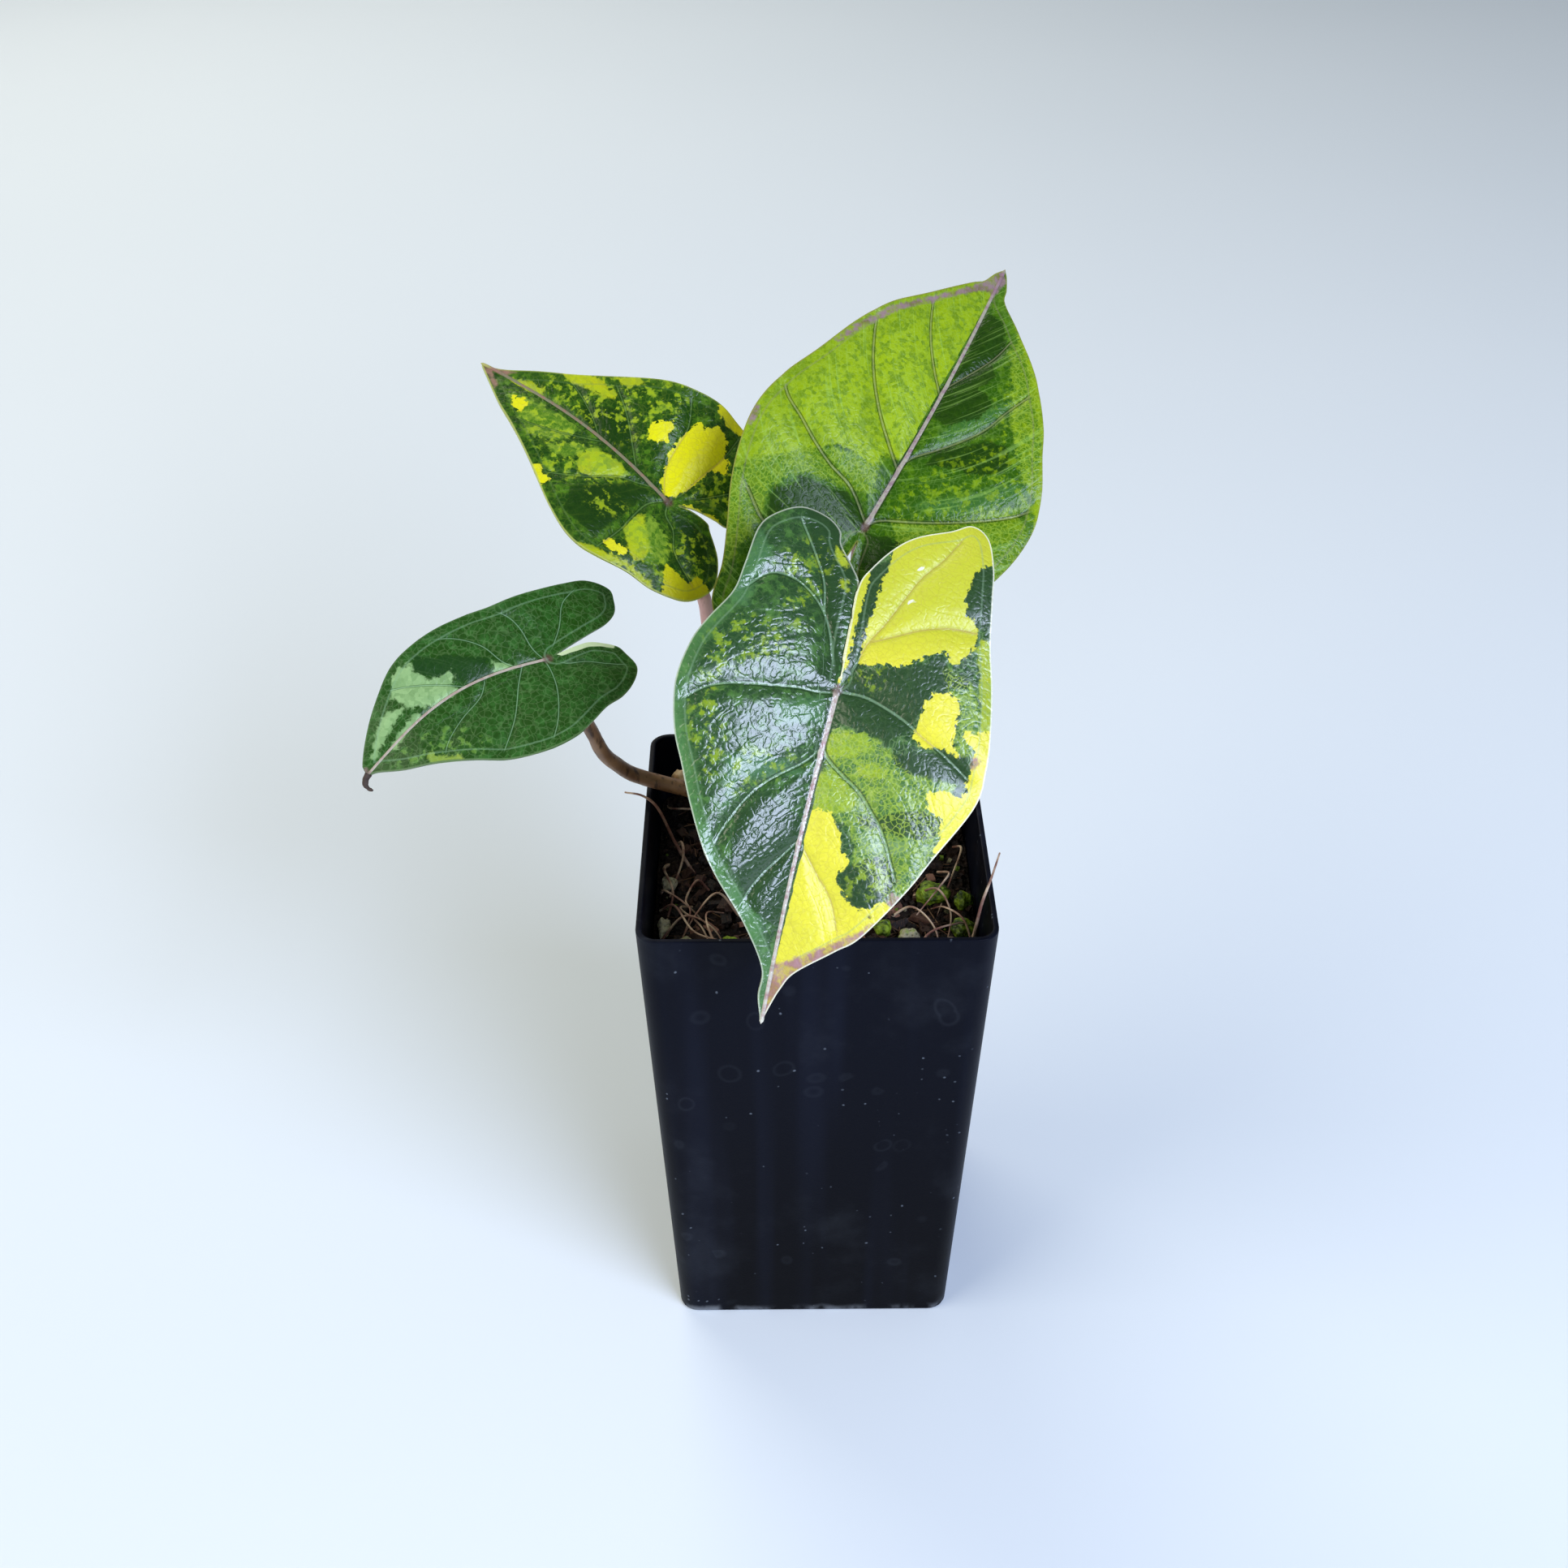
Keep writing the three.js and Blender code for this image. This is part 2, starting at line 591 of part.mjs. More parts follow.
// One blade: the same triangles on its upper and lower face, and a wall round its margin
function bladeGeometry(leaf) {
  const axes = bladeAxes(leaf);
  const points = [];
  const triangles = [];
  const place = (flat, side) => {
    const height = bladeHeight(leaf.shape, flat.x, flat.y) + (side * BLADE_THICKNESS) / 2;
    const point = new THREE.Vector3(...leaf.hub);
    point.addScaledVector(axes.across, flat.x);
    point.addScaledVector(axes.along, flat.y);
    point.addScaledVector(axes.out, height);
    points.push(point);
    return points.length - 1;
  };
  const addFace = (a, b, c, side) => {
    const corners = [a, b, c].map((flat) => place(flat, side));
    triangles.push(side > 0 ? corners : corners.reverse());
  };
  for (const [half, hand] of [[leaf.right, 1], [leaf.left, -1]]) {
    const rows = bladeRows(leaf, half);
    for (let row = 0; row + 1 < rows.length; row++) {
      for (let step = 0; step < ACROSS_STEPS; step++) {
        const [a, b] = [rows[row][step], rows[row][step + 1]];
        const [c, d] = [rows[row + 1][step + 1], rows[row + 1][step]];
        for (const side of [1, -1]) {
          addFace(a, hand > 0 ? c : b, hand > 0 ? b : c, side);
          addFace(a, hand > 0 ? d : c, hand > 0 ? c : d, side);
        }
      }
      const from = rows[row][ACROSS_STEPS];
      const to = rows[row + 1][ACROSS_STEPS];
      const [start, end] = hand > 0 ? [to, from] : [from, to];
      const wall = [place(start, -1), place(end, -1), place(end, 1), place(start, 1)];
      triangles.push([wall[0], wall[1], wall[2]], [wall[0], wall[2], wall[3]]);
    }
  }
  return closedGeometry(points, triangles);
}

// A leaf's stalk runs from inside the corm to just under its blade, square to it there
function stalkCurve(leaf) {
  const { out } = bladeAxes(leaf);
  const hub = new THREE.Vector3(...leaf.hub);
  const under = hub.clone().addScaledVector(out, -STALK_NECK);
  under.lerp(new THREE.Vector3(...leaf.stalk.at(-1)), NECK_LEAN);
  const end = hub.clone().addScaledVector(out, -BLADE_THICKNESS / 2 - STALK_GAP);
  const [x, y] = leaf.stalk[0];
  const root = [CORM_CENTRE[0] + 0.4 * x, CORM_CENTRE[1] + 0.2 * (y - CORM_CENTRE[1]), STALK_ROOT];
  return curveThrough([root, ...leaf.stalk, under.toArray(), end.toArray()]);
}

function stalkGeometry(leaf) {
  const curve = stalkCurve(leaf);
  const from = (SHEATH_LENGTH + GAP) / curve.getLength();
  const [base, top] = leaf.stalkRadius;
  return limb(curve, from, 1, (share) => base + (top - base) * Math.min(1, 1.25 * share), 10, 26);
}

function stemGeometry() {
  const profile = [
    [0, CORM_FOOT],
    [CORM_RADIUS * 0.5, CORM_FOOT + 0.4],
    [CORM_RADIUS, CORM_FOOT + 5],
    [CORM_RADIUS, CORM_TOP - 5],
    [CORM_RADIUS * 0.75, CORM_TOP - 1],
    [0, CORM_TOP],
  ];
  const corm = new THREE.LatheGeometry(profile.map(([r, z]) => new THREE.Vector2(r, z)), 20);
  corm.rotateX(Math.PI / 2);
  corm.translate(CORM_CENTRE[0], CORM_CENTRE[1], 0);
  let stem = toSolid(corm);
  for (const leaf of Object.values(LEAVES)) {
    const curve = stalkCurve(leaf);
    const end = SHEATH_LENGTH / curve.getLength();
    stem = stem.add(toSolid(limb(curve, 0, end, () => leaf.stalkRadius[0] + SHEATH_LIP, 12, 8)));
  }
  return toGeometry(stem);
}

// Finishes: colour, roughness and metalness of each kind of piece
const FINISHES = {
  pot: [0x1a1d22, 0.4],
  mix: [0x2a1d15, 0.95],
  stem: [0x9a7a55, 0.7],
  stalk: [0x8a5f48, 0.5],
  stub: [0xa98a5c, 0.8],
  greenGrain: [0x5f8a2a, 0.8],
  paleGrain: [0xa59b7d, 0.85],
  front: [0x6f8f2c, 0.35],
  upper: [0x7fa32a, 0.4],
  back: [0x5c8a2b, 0.4],
  low: [0x2f5f2b, 0.4],
};

const plant = new THREE.Group();

function addPiece(name, geometry, finish) {
  const [color, roughness] = FINISHES[finish];
  geometry.computeVertexNormals();
  const material = new THREE.MeshStandardMaterial({ color, roughness, metalness: 0 });
  const piece = new THREE.Mesh(geometry, material);
  piece.name = name;
  plant.add(piece);
}

addPiece("pot", potGeometry(), "pot");
addPiece("potting_mix", mixGeometry(), "mix");
addPiece("stem", stemGeometry(), "stem");
addPiece("old_leaf_stub", stubGeometry(0), "stub");
GRAINS.forEach((grain, index) => {
  addPiece(`pumice_grain_${index + 1}`, grainGeometry(grain, 0), grain.green ? "greenGrain" : "paleGrain");
});
for (const [name, leaf] of Object.entries(LEAVES)) {
  addPiece(`${name}_leaf_stalk`, stalkGeometry(leaf), "stalk");
  addPiece(`${name}_leaf_blade`, bladeGeometry(leaf), name);
}

export default plant;
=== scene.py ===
import math
import random

import bmesh
import bpy
import numpy as np
from mathutils import Matrix, Quaternion, Vector, noise


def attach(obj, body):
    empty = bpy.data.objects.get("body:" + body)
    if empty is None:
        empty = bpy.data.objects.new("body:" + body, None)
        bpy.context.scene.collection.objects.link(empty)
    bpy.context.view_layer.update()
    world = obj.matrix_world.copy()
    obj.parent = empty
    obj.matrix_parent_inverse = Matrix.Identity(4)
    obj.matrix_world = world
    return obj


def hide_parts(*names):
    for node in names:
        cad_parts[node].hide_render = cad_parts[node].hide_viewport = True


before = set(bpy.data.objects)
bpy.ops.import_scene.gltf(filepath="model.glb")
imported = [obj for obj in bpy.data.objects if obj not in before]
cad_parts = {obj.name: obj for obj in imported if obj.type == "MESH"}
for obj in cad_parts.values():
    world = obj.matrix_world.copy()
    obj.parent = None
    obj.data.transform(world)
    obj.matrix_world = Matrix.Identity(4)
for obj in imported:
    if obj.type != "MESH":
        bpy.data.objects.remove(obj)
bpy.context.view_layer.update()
MM = 0.001


# The place where the plant stands: a plain pale floor under soft studio light. A tall, cool soft
# panel on the right makes the sheen on the leaves, and two wide, warm ones fill the shadows.
CAMERA_AT = (-0.0075, -0.2878, 0.3257)
CAMERA_TILT, CAMERA_PAN, CAMERA_ROLL = 53.85, -0.38, -0.15
CAMERA_LENS, CAMERA_SENSOR, CAMERA_NEAR = 44.42, 36, 0.01
COOL_LIGHT, WARM_LIGHT = (0.66, 0.74, 1.0), (1.0, 0.94, 0.82)
SOFT_PANELS = [
    {"name": "tall_panel", "at": (0.585, -0.84, 0.80), "size": (0.42, 1.0), "lean": -44,
     "power": 18.0, "tint": COOL_LIGHT},
    {"name": "left_panel", "at": (-0.85, -0.35, 0.80), "size": (0.9, 0.9), "lean": 0,
     "power": 7.0, "tint": WARM_LIGHT},
    {"name": "back_panel", "at": (-0.50, 0.95, 0.85), "size": (0.9, 0.9), "lean": 0,
     "power": 7.0, "tint": WARM_LIGHT},
]
PANELS_LOOK_AT = Vector((0, 0, 0.12))
SKY_COLOUR, SKY_STRENGTH = (0.80, 0.90, 1.0, 1.0), 0.24
FLOOR_SIZE = 6.0
COAT_ROUGHNESS = 0.25


def linear(hex_colour):
    """A colour written as #RRGGBB, as the four numbers that a shader takes."""
    parts = [int(hex_colour[place:place + 2], 16) / 255 for place in (1, 3, 5)]
    return [part / 12.92 if part < 0.04045 else ((part + 0.055) / 1.055) ** 2.4 for part in parts] + [1.0]


class Amount:
    """A shader value: sums with it add Math nodes to its finish."""

    def __init__(self, finish, socket):
        self.finish, self.socket = finish, socket

    def math(self, operation, first, second=0.0, clamp=False):
        return self.finish.node(
            "ShaderNodeMath", {"operation": operation, "use_clamp": clamp}, {0: first, 1: second}
        )

    def __add__(self, other):
        return self.math("ADD", self, other)

    def __radd__(self, other):
        return self.math("ADD", other, self)

    def __sub__(self, other):
        return self.math("SUBTRACT", self, other)

    def __rsub__(self, other):
        return self.math("SUBTRACT", other, self)

    def __mul__(self, other):
        return self.math("MULTIPLY", self, other)

    def __rmul__(self, other):
        return self.math("MULTIPLY", other, self)

    def __truediv__(self, other):
        return self.math("DIVIDE", self, other)

    def __abs__(self):
        return self.math("ABSOLUTE", self)

    def between(self, low, high):
        """0 below low, 1 above high, and a smooth step from one to the other."""
        return self.finish.node(
            "ShaderNodeMapRange", {"interpolation_type": "SMOOTHSTEP"},
            {"Value": self, "From Min": low, "From Max": high},
        )

    def within(self):
        """Held between 0 and 1."""
        return self.math("MULTIPLY", self, 1.0, clamp=True)


class Finish:
    """A material under construction."""

    def __init__(self, name, roughness, specular, coat=0.0):
        self.material = bpy.data.materials.new(name)
        self.material.use_nodes = True
        self.tree = self.material.node_tree
        self.shader = self.tree.nodes["Principled BSDF"]
        self.shader.inputs["Roughness"].default_value = roughness
        self.shader.inputs["Specular IOR Level"].default_value = specular
        self.shader.inputs["Coat Weight"].default_value = coat
        self.shader.inputs["Coat Roughness"].default_value = COAT_ROUGHNESS

    def node(self, kind, settings=None, sockets=None, output=0):
        """Adds a node: its settings first, then the values or links of its sockets."""
        node = self.tree.nodes.new(kind)
        for name, value in (settings or {}).items():
            setattr(node, name, value)
        for name, value in (sockets or {}).items():
            self.put(node.inputs[name], value)
        return Amount(self, node.outputs[output])

    def put(self, socket, value):
        """Links a value to a socket, or writes a plain one in it."""
        if isinstance(value, Amount):
            self.tree.links.new(value.socket, socket)
        else:
            socket.default_value = value

    def set(self, name, value):
        self.put(self.shader.inputs[name], value)

    def place(self):
        """Where a point of the piece is, in metres."""
        return self.node("ShaderNodeTexCoord", output="Object")

    def reading(self, name, output="Fac"):
        """A value that the mesh carries at its points."""
        return self.node("ShaderNodeAttribute", {"attribute_name": name}, output=output)

    def grain(self, place, size, detail=3.0, rough=0.55, output="Fac"):
        """Soft noise whose lumps are about size across, in the units of place."""
        return self.node(
            "ShaderNodeTexNoise", {},
            {"Vector": place, "Scale": 1 / size, "Detail": detail, "Roughness": rough}, output=output,
        )

    def cells(self, place, size, feature="F1", output="Distance"):
        """Cells about size across."""
        return self.node(
            "ShaderNodeTexVoronoi", {"feature": feature},
            {"Vector": place, "Scale": 1 / size}, output=output,
        )

    def vector(self, operation, first, second):
        """Places or colours added or multiplied, axis by axis."""
        return self.node("ShaderNodeVectorMath", {"operation": operation}, {0: first, 1: second})

    def mix(self, share, first, second):
        """From the first colour to the second."""
        return self.node(
            "ShaderNodeMix", {"data_type": "RGBA"}, {0: share, 6: first, 7: second}, output=2
        )

    def part(self, vector, axis):
        """One axis of a place, or one channel of a colour."""
        return self.node("ShaderNodeSeparateXYZ", {}, {0: vector}, output=axis)

    def bump(self, height, distance, strength, after=None):
        """Low relief as deep as distance, in metres, over another one where there is one."""
        sockets = {"Height": height, "Distance": distance, "Strength": strength}
        if after is not None:
            sockets["Normal"] = after
        return self.node("ShaderNodeBump", {}, sockets)


bpy.ops.object.select_all(action="DESELECT")
bpy.ops.mesh.primitive_plane_add(size=FLOOR_SIZE, location=(0, 0, 0))
floor = bpy.context.object
floor.name = "floor"
floor_finish = Finish("pale_floor", roughness=0.75, specular=0.25)
floor_cloud = floor_finish.grain(floor_finish.place(), 0.4, detail=2.0)
floor_finish.set("Base Color", floor_finish.mix(floor_cloud, linear("#E0E9EE"), linear("#E7EFF3")))
floor.data.materials.append(floor_finish.material)

for panel in SOFT_PANELS:
    bpy.ops.object.light_add(type="AREA", location=panel["at"])
    lamp = bpy.context.object
    lamp.name = panel["name"]
    lamp.data.shape = "RECTANGLE"
    lamp.data.size, lamp.data.size_y = panel["size"]
    lamp.data.energy = panel["power"]
    lamp.data.color = panel["tint"]
    towards = (PANELS_LOOK_AT - lamp.location).to_track_quat("-Z", "Y")
    lamp.rotation_euler = (towards @ Quaternion((0, 0, 1), math.radians(panel["lean"]))).to_euler()

surroundings = bpy.data.worlds.new("pale_surroundings")
surroundings.use_nodes = True
sky = surroundings.node_tree.nodes["Background"]
sky.inputs["Color"].default_value = SKY_COLOUR
sky.inputs["Strength"].default_value = SKY_STRENGTH
bpy.context.scene.world = surroundings

bpy.ops.object.camera_add(location=CAMERA_AT)
camera = bpy.context.object
camera.name = "camera"
camera.data.lens = CAMERA_LENS
camera.data.sensor_width = CAMERA_SENSOR
camera.data.clip_start = CAMERA_NEAR
aim = (
    Matrix.Rotation(math.radians(CAMERA_PAN), 4, "Z")
    @ Matrix.Rotation(math.radians(CAMERA_TILT), 4, "X")
    @ Matrix.Rotation(math.radians(CAMERA_ROLL), 4, "Z")
)
camera.rotation_euler = aim.to_euler()
bpy.context.scene.camera = camera
bpy.context.scene.view_settings.view_transform = "Standard"


# The pot: a tall square nursery pot, moulded in one piece from thin black plastic with a satin
# face. Its walls taper to the base, each has a shallow pressed panel, and the floor has drain
# holes. Handling and watering have left dust, drip marks and a line of lime at the foot.
POT_HEIGHT = 104.8
POT_TOP_WIDTH, POT_BASE_WIDTH = 64.0, 55.1
POT_CORNER, CORNER_STEPS = 3.8, 7
POT_WALL, POT_FLOOR = 1.1, 1.6
FOOT_BEVEL, RIM_BEVEL, BEVEL_STEPS = 0.6, 0.28, 3
PANEL_INSET, PANEL_NARROWING, PANEL_DEPTH, PANEL_SLOPE = 5.3, 0.78, 0.14, 1.2
INNER_PANEL_INSET, INNER_PANEL_NARROWING, INNER_PANEL_DEPTH = 6.5, 0.82, 0.07
DRAIN_RADIUS, DRAIN_OFFSET, DRILL_LENGTH = 4.0, 17.0, 6.0
SPECK_CELL, RING_CELL, DRIFT_SIZE, DRIFT_REACH = 0.0022, 0.006, 0.030, 0.012


def pot_half(z):
    """Half the pot's outer width at a height."""
    return (POT_BASE_WIDTH + (POT_TOP_WIDTH - POT_BASE_WIDTH) * z / POT_HEIGHT) / 2


def choose(piece, kind, test):
    """Selects the verts, edges or faces of the edited mesh whose centre and direction pass the test."""
    mesh = bmesh.from_edit_mesh(piece.data)
    mesh.normal_update()
    for every in (mesh.faces, mesh.edges, mesh.verts):
        for item in every:
            item.select = False
    bpy.ops.mesh.select_mode(type=kind)
    mesh.select_mode = {kind}
    items = {"VERT": mesh.verts, "EDGE": mesh.edges, "FACE": mesh.faces}[kind]
    for item in items:
        if kind == "VERT":
            passed = test(item.co / MM, item.normal)
        elif kind == "EDGE":
            ends = [end.co for end in item.verts]
            passed = test((ends[0] + ends[1]) / 2 / MM, (ends[1] - ends[0]) / MM)
        else:
            passed = test(item.calc_center_median() / MM, item.normal)
        if passed:
            item.select_set(True)
    mesh.select_flush_mode()
    bmesh.update_edit_mesh(piece.data)


def new_piece(name):
    """Names the object that was just added and bakes its place into its mesh."""
    piece = bpy.context.object
    piece.name = name
    piece.data.name = name
    bpy.ops.object.transform_apply(location=True, rotation=True, scale=True)
    return piece


def pick(first, *others):
    """Selects these pieces alone and works on the first."""
    bpy.ops.object.select_all(action="DESELECT")
    for piece in (first, *others):
        piece.select_set(True)
    bpy.context.view_layer.objects.active = first


def finish_piece(piece, material, slot, *nodes, smooth_under):
    """Gives a piece its finish, unless it has one, and its body, and hides the CAD nodes that it stands
    for.
    """
    if material is not None:
        piece.data.materials.append(material)
    pick(piece)
    bpy.ops.object.shade_smooth_by_angle(angle=math.radians(smooth_under))
    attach(piece, "root")
    if nodes:
        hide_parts(*nodes)


bpy.ops.object.select_all(action="DESELECT")
bpy.ops.mesh.primitive_cube_add(size=1, location=(0, 0, POT_HEIGHT / 2 * MM))
bpy.context.object.scale = (POT_TOP_WIDTH * MM, POT_TOP_WIDTH * MM, POT_HEIGHT * MM)
pot = new_piece("nursery_pot")
bpy.ops.object.mode_set(mode="EDIT")
choose(pot, "FACE", lambda centre, normal: normal.z < -0.9)
base_share = POT_BASE_WIDTH / POT_TOP_WIDTH
bpy.ops.transform.resize(value=(base_share, base_share, 1))
choose(pot, "EDGE", lambda centre, along: abs(along.z) > POT_HEIGHT / 2)
bpy.ops.mesh.bevel(offset=POT_CORNER * MM, segments=CORNER_STEPS, affect="EDGES")
for turn in range(4):
    facing = Vector((math.sin(turn * math.pi / 2), -math.cos(turn * math.pi / 2), 0))
    narrow = (PANEL_NARROWING, 1, 1) if turn % 2 == 0 else (1, PANEL_NARROWING, 1)
    inner_narrow = tuple(INNER_PANEL_NARROWING if share < 1 else 1 for share in narrow)
    choose(pot, "FACE", lambda centre, normal: normal.dot(facing) > 0.998
           and centre.dot(facing) > POT_BASE_WIDTH / 2 - FOOT_BEVEL)
    bpy.ops.mesh.inset(thickness=PANEL_INSET * MM)
    bpy.ops.transform.resize(value=narrow)
    bpy.ops.mesh.inset(thickness=PANEL_SLOPE * MM, depth=-PANEL_DEPTH * MM)
    bpy.ops.mesh.inset(thickness=INNER_PANEL_INSET * MM)
    bpy.ops.transform.resize(value=inner_narrow)
    bpy.ops.mesh.inset(thickness=PANEL_SLOPE * MM, depth=-INNER_PANEL_DEPTH * MM)
choose(pot, "FACE", lambda centre, normal: normal.z > 0.9 and centre.z > POT_HEIGHT - 1)
bpy.ops.mesh.inset(thickness=POT_WALL * MM)
floor_share = (pot_half(POT_FLOOR) - POT_WALL) / (pot_half(POT_HEIGHT) - POT_WALL)
bpy.ops.mesh.extrude_region_move(TRANSFORM_OT_translate={"value": (0, 0, (POT_FLOOR - POT_HEIGHT) * MM)})
bpy.ops.transform.resize(value=(floor_share, floor_share, 1))
choose(pot, "EDGE", lambda centre, along: centre.z > POT_HEIGHT - 0.01 and abs(along.z) < 0.01
       and max(abs(centre.x), abs(centre.y)) > POT_TOP_WIDTH / 2 - POT_WALL - POT_CORNER)
bpy.ops.mesh.bevel(offset=RIM_BEVEL * MM, segments=BEVEL_STEPS, affect="EDGES")
choose(pot, "EDGE", lambda centre, along: centre.z < 0.01 and abs(along.z) < 0.01)
bpy.ops.mesh.bevel(offset=FOOT_BEVEL * MM, segments=BEVEL_STEPS, affect="EDGES")
bpy.ops.object.mode_set(mode="OBJECT")

bpy.ops.object.select_all(action="DESELECT")
for x in (-DRAIN_OFFSET, DRAIN_OFFSET):
    for y in (-DRAIN_OFFSET, DRAIN_OFFSET):
        bpy.ops.mesh.primitive_cylinder_add(
            vertices=32, radius=DRAIN_RADIUS * MM, depth=DRILL_LENGTH * MM, location=(x * MM, y * MM, 0)
        )
        drill = new_piece("drain_drill")
        pick(pot)
        cut = pot.modifiers.new("drain_hole", "BOOLEAN")
        cut.object = drill
        cut.operation = "DIFFERENCE"
        cut.solver = "EXACT"
        bpy.ops.object.modifier_apply(modifier=cut.name)
        bpy.data.objects.remove(drill)

plastic = Finish("satin_black_plastic", roughness=0.38, specular=0.06)
where = plastic.place()
height = plastic.part(where, "Z") / MM
cloud = plastic.grain(where, 0.018, detail=5.0)
stain = plastic.grain(plastic.vector("MULTIPLY", where, (1, 1, 0.25)), 0.006, detail=4.0)
drift = plastic.grain(where, DRIFT_SIZE, detail=1.0, output="Color")
strewn = plastic.vector("ADD", where, plastic.vector("MULTIPLY", drift, (DRIFT_REACH,) * 3))
speck_cells = plastic.cells(strewn, SPECK_CELL)
speck_chance = plastic.part(plastic.cells(strewn, SPECK_CELL, output="Color"), "X")
specks = (1 - speck_cells.between(0.05, 0.16)) * (speck_chance + cloud * 0.5).between(0.95, 1.15)
ring_cells = plastic.cells(strewn, RING_CELL)
ring_chance = plastic.part(plastic.cells(strewn, RING_CELL, output="Color"), "Y")
drip_rings = (1 - abs(ring_cells - 0.3).between(0.0, 0.09)) * ring_chance.between(0.72, 0.78)
lime_edge = (1 - (height + 5.0 * (stain - 0.5)).between(0.4, 2.4)) * (stain + cloud).between(0.85, 1.10)
dust = (cloud.between(0.5, 0.8) * 0.07 + specks * 0.8 + drip_rings * 0.07 * cloud).within()
# Painted shade: the black plastic darkens from the rim down to the foot.
skin = plastic.mix(height.between(0, 95), linear("#040408"), linear("#080B16"))
flow_marks = plastic.grain(plastic.vector("MULTIPLY", where, (1, 1, 0.02)), 0.009, detail=2.0)
skin = plastic.mix(flow_marks.between(0.45, 0.7) * 0.35, skin, linear("#171C2C"))
skin = plastic.mix(dust * 0.5, skin, linear("#8E98A4"))
skin = plastic.mix(lime_edge * 0.7, skin, linear("#8D9297"))
plastic.set("Base Color", skin)
plastic.set("Roughness", 0.33 + 0.18 * cloud + 0.3 * dust + 0.3 * lime_edge)
mould_texture = plastic.bump(plastic.grain(where, 0.00045, detail=2.0), 0.00003, 0.6)
plastic.set("Normal", plastic.bump(lime_edge + specks, 0.00015, 0.6, after=mould_texture))
finish_piece(pot, plastic.material, "pot_plastic", "pot", smooth_under=32)
flat_walls = pot.modifiers.new("flat_walls", "WEIGHTED_NORMAL")
flat_walls.keep_sharp = True
bpy.ops.object.modifier_apply(modifier=flat_walls.name)


# The potting mix: a dark, loose, bark-based mix that fills the pot to about a finger's width
# below the rim. It was poured in round the roots and has settled into lumps and hollows.
MIX_LEVEL, MIX_MOUND, MOUND_REACH, MIX_WAVE = 92.0, 1.6, 14.0, 0.5
MIX_CLEARANCE, MIX_CORNER = 0.3, 2.4
MIX_SINK, MIX_LUMP, LUMP_SIZE = 0.9, 1.1, 3.4
EDGE_STRIP, EDGE_DROP = 1.2, 0.8
MIX_DEPTH, MIX_MIDDLE, FOOT_LEVEL = 86.0, 50.0, 5
STEM_AT = Vector((0, 4, 0))
MIX_CELLS = 84


def mix_height(x, y):
    """Height of the mix's surface, in millimetres."""
    from_stem = math.hypot(x - STEM_AT.x, y - STEM_AT.y)
    mound = MIX_MOUND * math.exp(-((from_stem / MOUND_REACH) ** 2))
    return MIX_LEVEL + mound + MIX_WAVE * math.sin(0.33 * x + 1) * math.cos(0.29 * y + 0.4)


def lumpy_height(x, y):
    """Height of the mix between its loose bits, in millimetres."""
    lumps = noise.fractal(Vector((x, y, 3.0)) / LUMP_SIZE, 0.9, 2.1, 4)
    return mix_height(x, y) - MIX_SINK + MIX_LUMP * lumps


def inside_pot(x, y, half, corner):
    """The point pulled in to a rounded square."""
    straight = half - corner
    nearest = Vector((max(-straight, min(straight, x)), max(-straight, min(straight, y))))
    away = Vector((x, y)) - nearest
    if away.length > corner:
        away *= corner / away.length
    return nearest + away


bpy.ops.object.select_all(action="DESELECT")
bpy.ops.mesh.primitive_grid_add(x_subdivisions=MIX_CELLS, y_subdivisions=MIX_CELLS, size=1)
bed = new_piece("potting_mix_bed")
mix_half = pot_half(MIX_LEVEL) - POT_WALL - MIX_CLEARANCE
for vertex in bed.data.vertices:
    spot = inside_pot(2 * mix_half * vertex.co.x, 2 * mix_half * vertex.co.y, mix_half, MIX_CORNER)
    edge = max(abs(spot.x), abs(spot.y)) > mix_half - EDGE_STRIP
    drop = EDGE_DROP if edge else 0
    vertex.co = Vector((spot.x, spot.y, lumpy_height(spot.x, spot.y) - drop)) * MM
bpy.ops.object.mode_set(mode="EDIT")
choose(bed, "FACE", lambda centre, normal: True)
bpy.ops.mesh.region_to_loop()
bpy.ops.mesh.extrude_region_move(TRANSFORM_OT_translate={"value": (0, 0, -MIX_DEPTH * MM)})
foot_share = (pot_half(FOOT_LEVEL) - POT_WALL - MIX_CLEARANCE) / mix_half
bpy.ops.transform.resize(value=(foot_share, foot_share, 0))
bpy.ops.mesh.edge_face_add()
bpy.ops.mesh.select_all(action="SELECT")
bpy.ops.mesh.normals_make_consistent(inside=False)
bpy.ops.object.mode_set(mode="OBJECT")
foot_drop = min(vertex.co.z for vertex in bed.data.vertices) - (POT_FLOOR + MIX_CLEARANCE) * MM
for vertex in bed.data.vertices:
    if vertex.co.z < MIX_MIDDLE * MM:
        vertex.co.z -= foot_drop

peat = Finish("damp_peat", roughness=0.9, specular=0.3)
where = peat.place()
crumb = peat.cells(where, 0.0011)
soft = peat.grain(where, 0.005, detail=6.0, rough=0.65)
earth = peat.mix(soft.between(0.35, 0.7), linear("#0B0706"), linear("#2A1A12"))
earth = peat.mix(peat.grain(where, 0.0009).between(0.62, 0.74) * 0.5, earth, linear("#5A4436"))
peat.set("Base Color", earth)
peat.set("Roughness", 0.75 + 0.25 * crumb)
peat.set("Normal", peat.bump(crumb + soft, 0.0012, 0.9))
finish_piece(bed, peat.material, "potting_mix", "potting_mix", smooth_under=50)


# Bark and coir in the mix: torn chips of conifer bark, crumbs of peat and short coir fibres lie
# loose on top, at all angles. Each kind is a few shapes, copied and turned.
CHIP_COUNT, CRUMB_COUNT, FIBRE_COUNT = 330, 1500, 260
TORN, STEM_ROOM = 0.9, 5.5


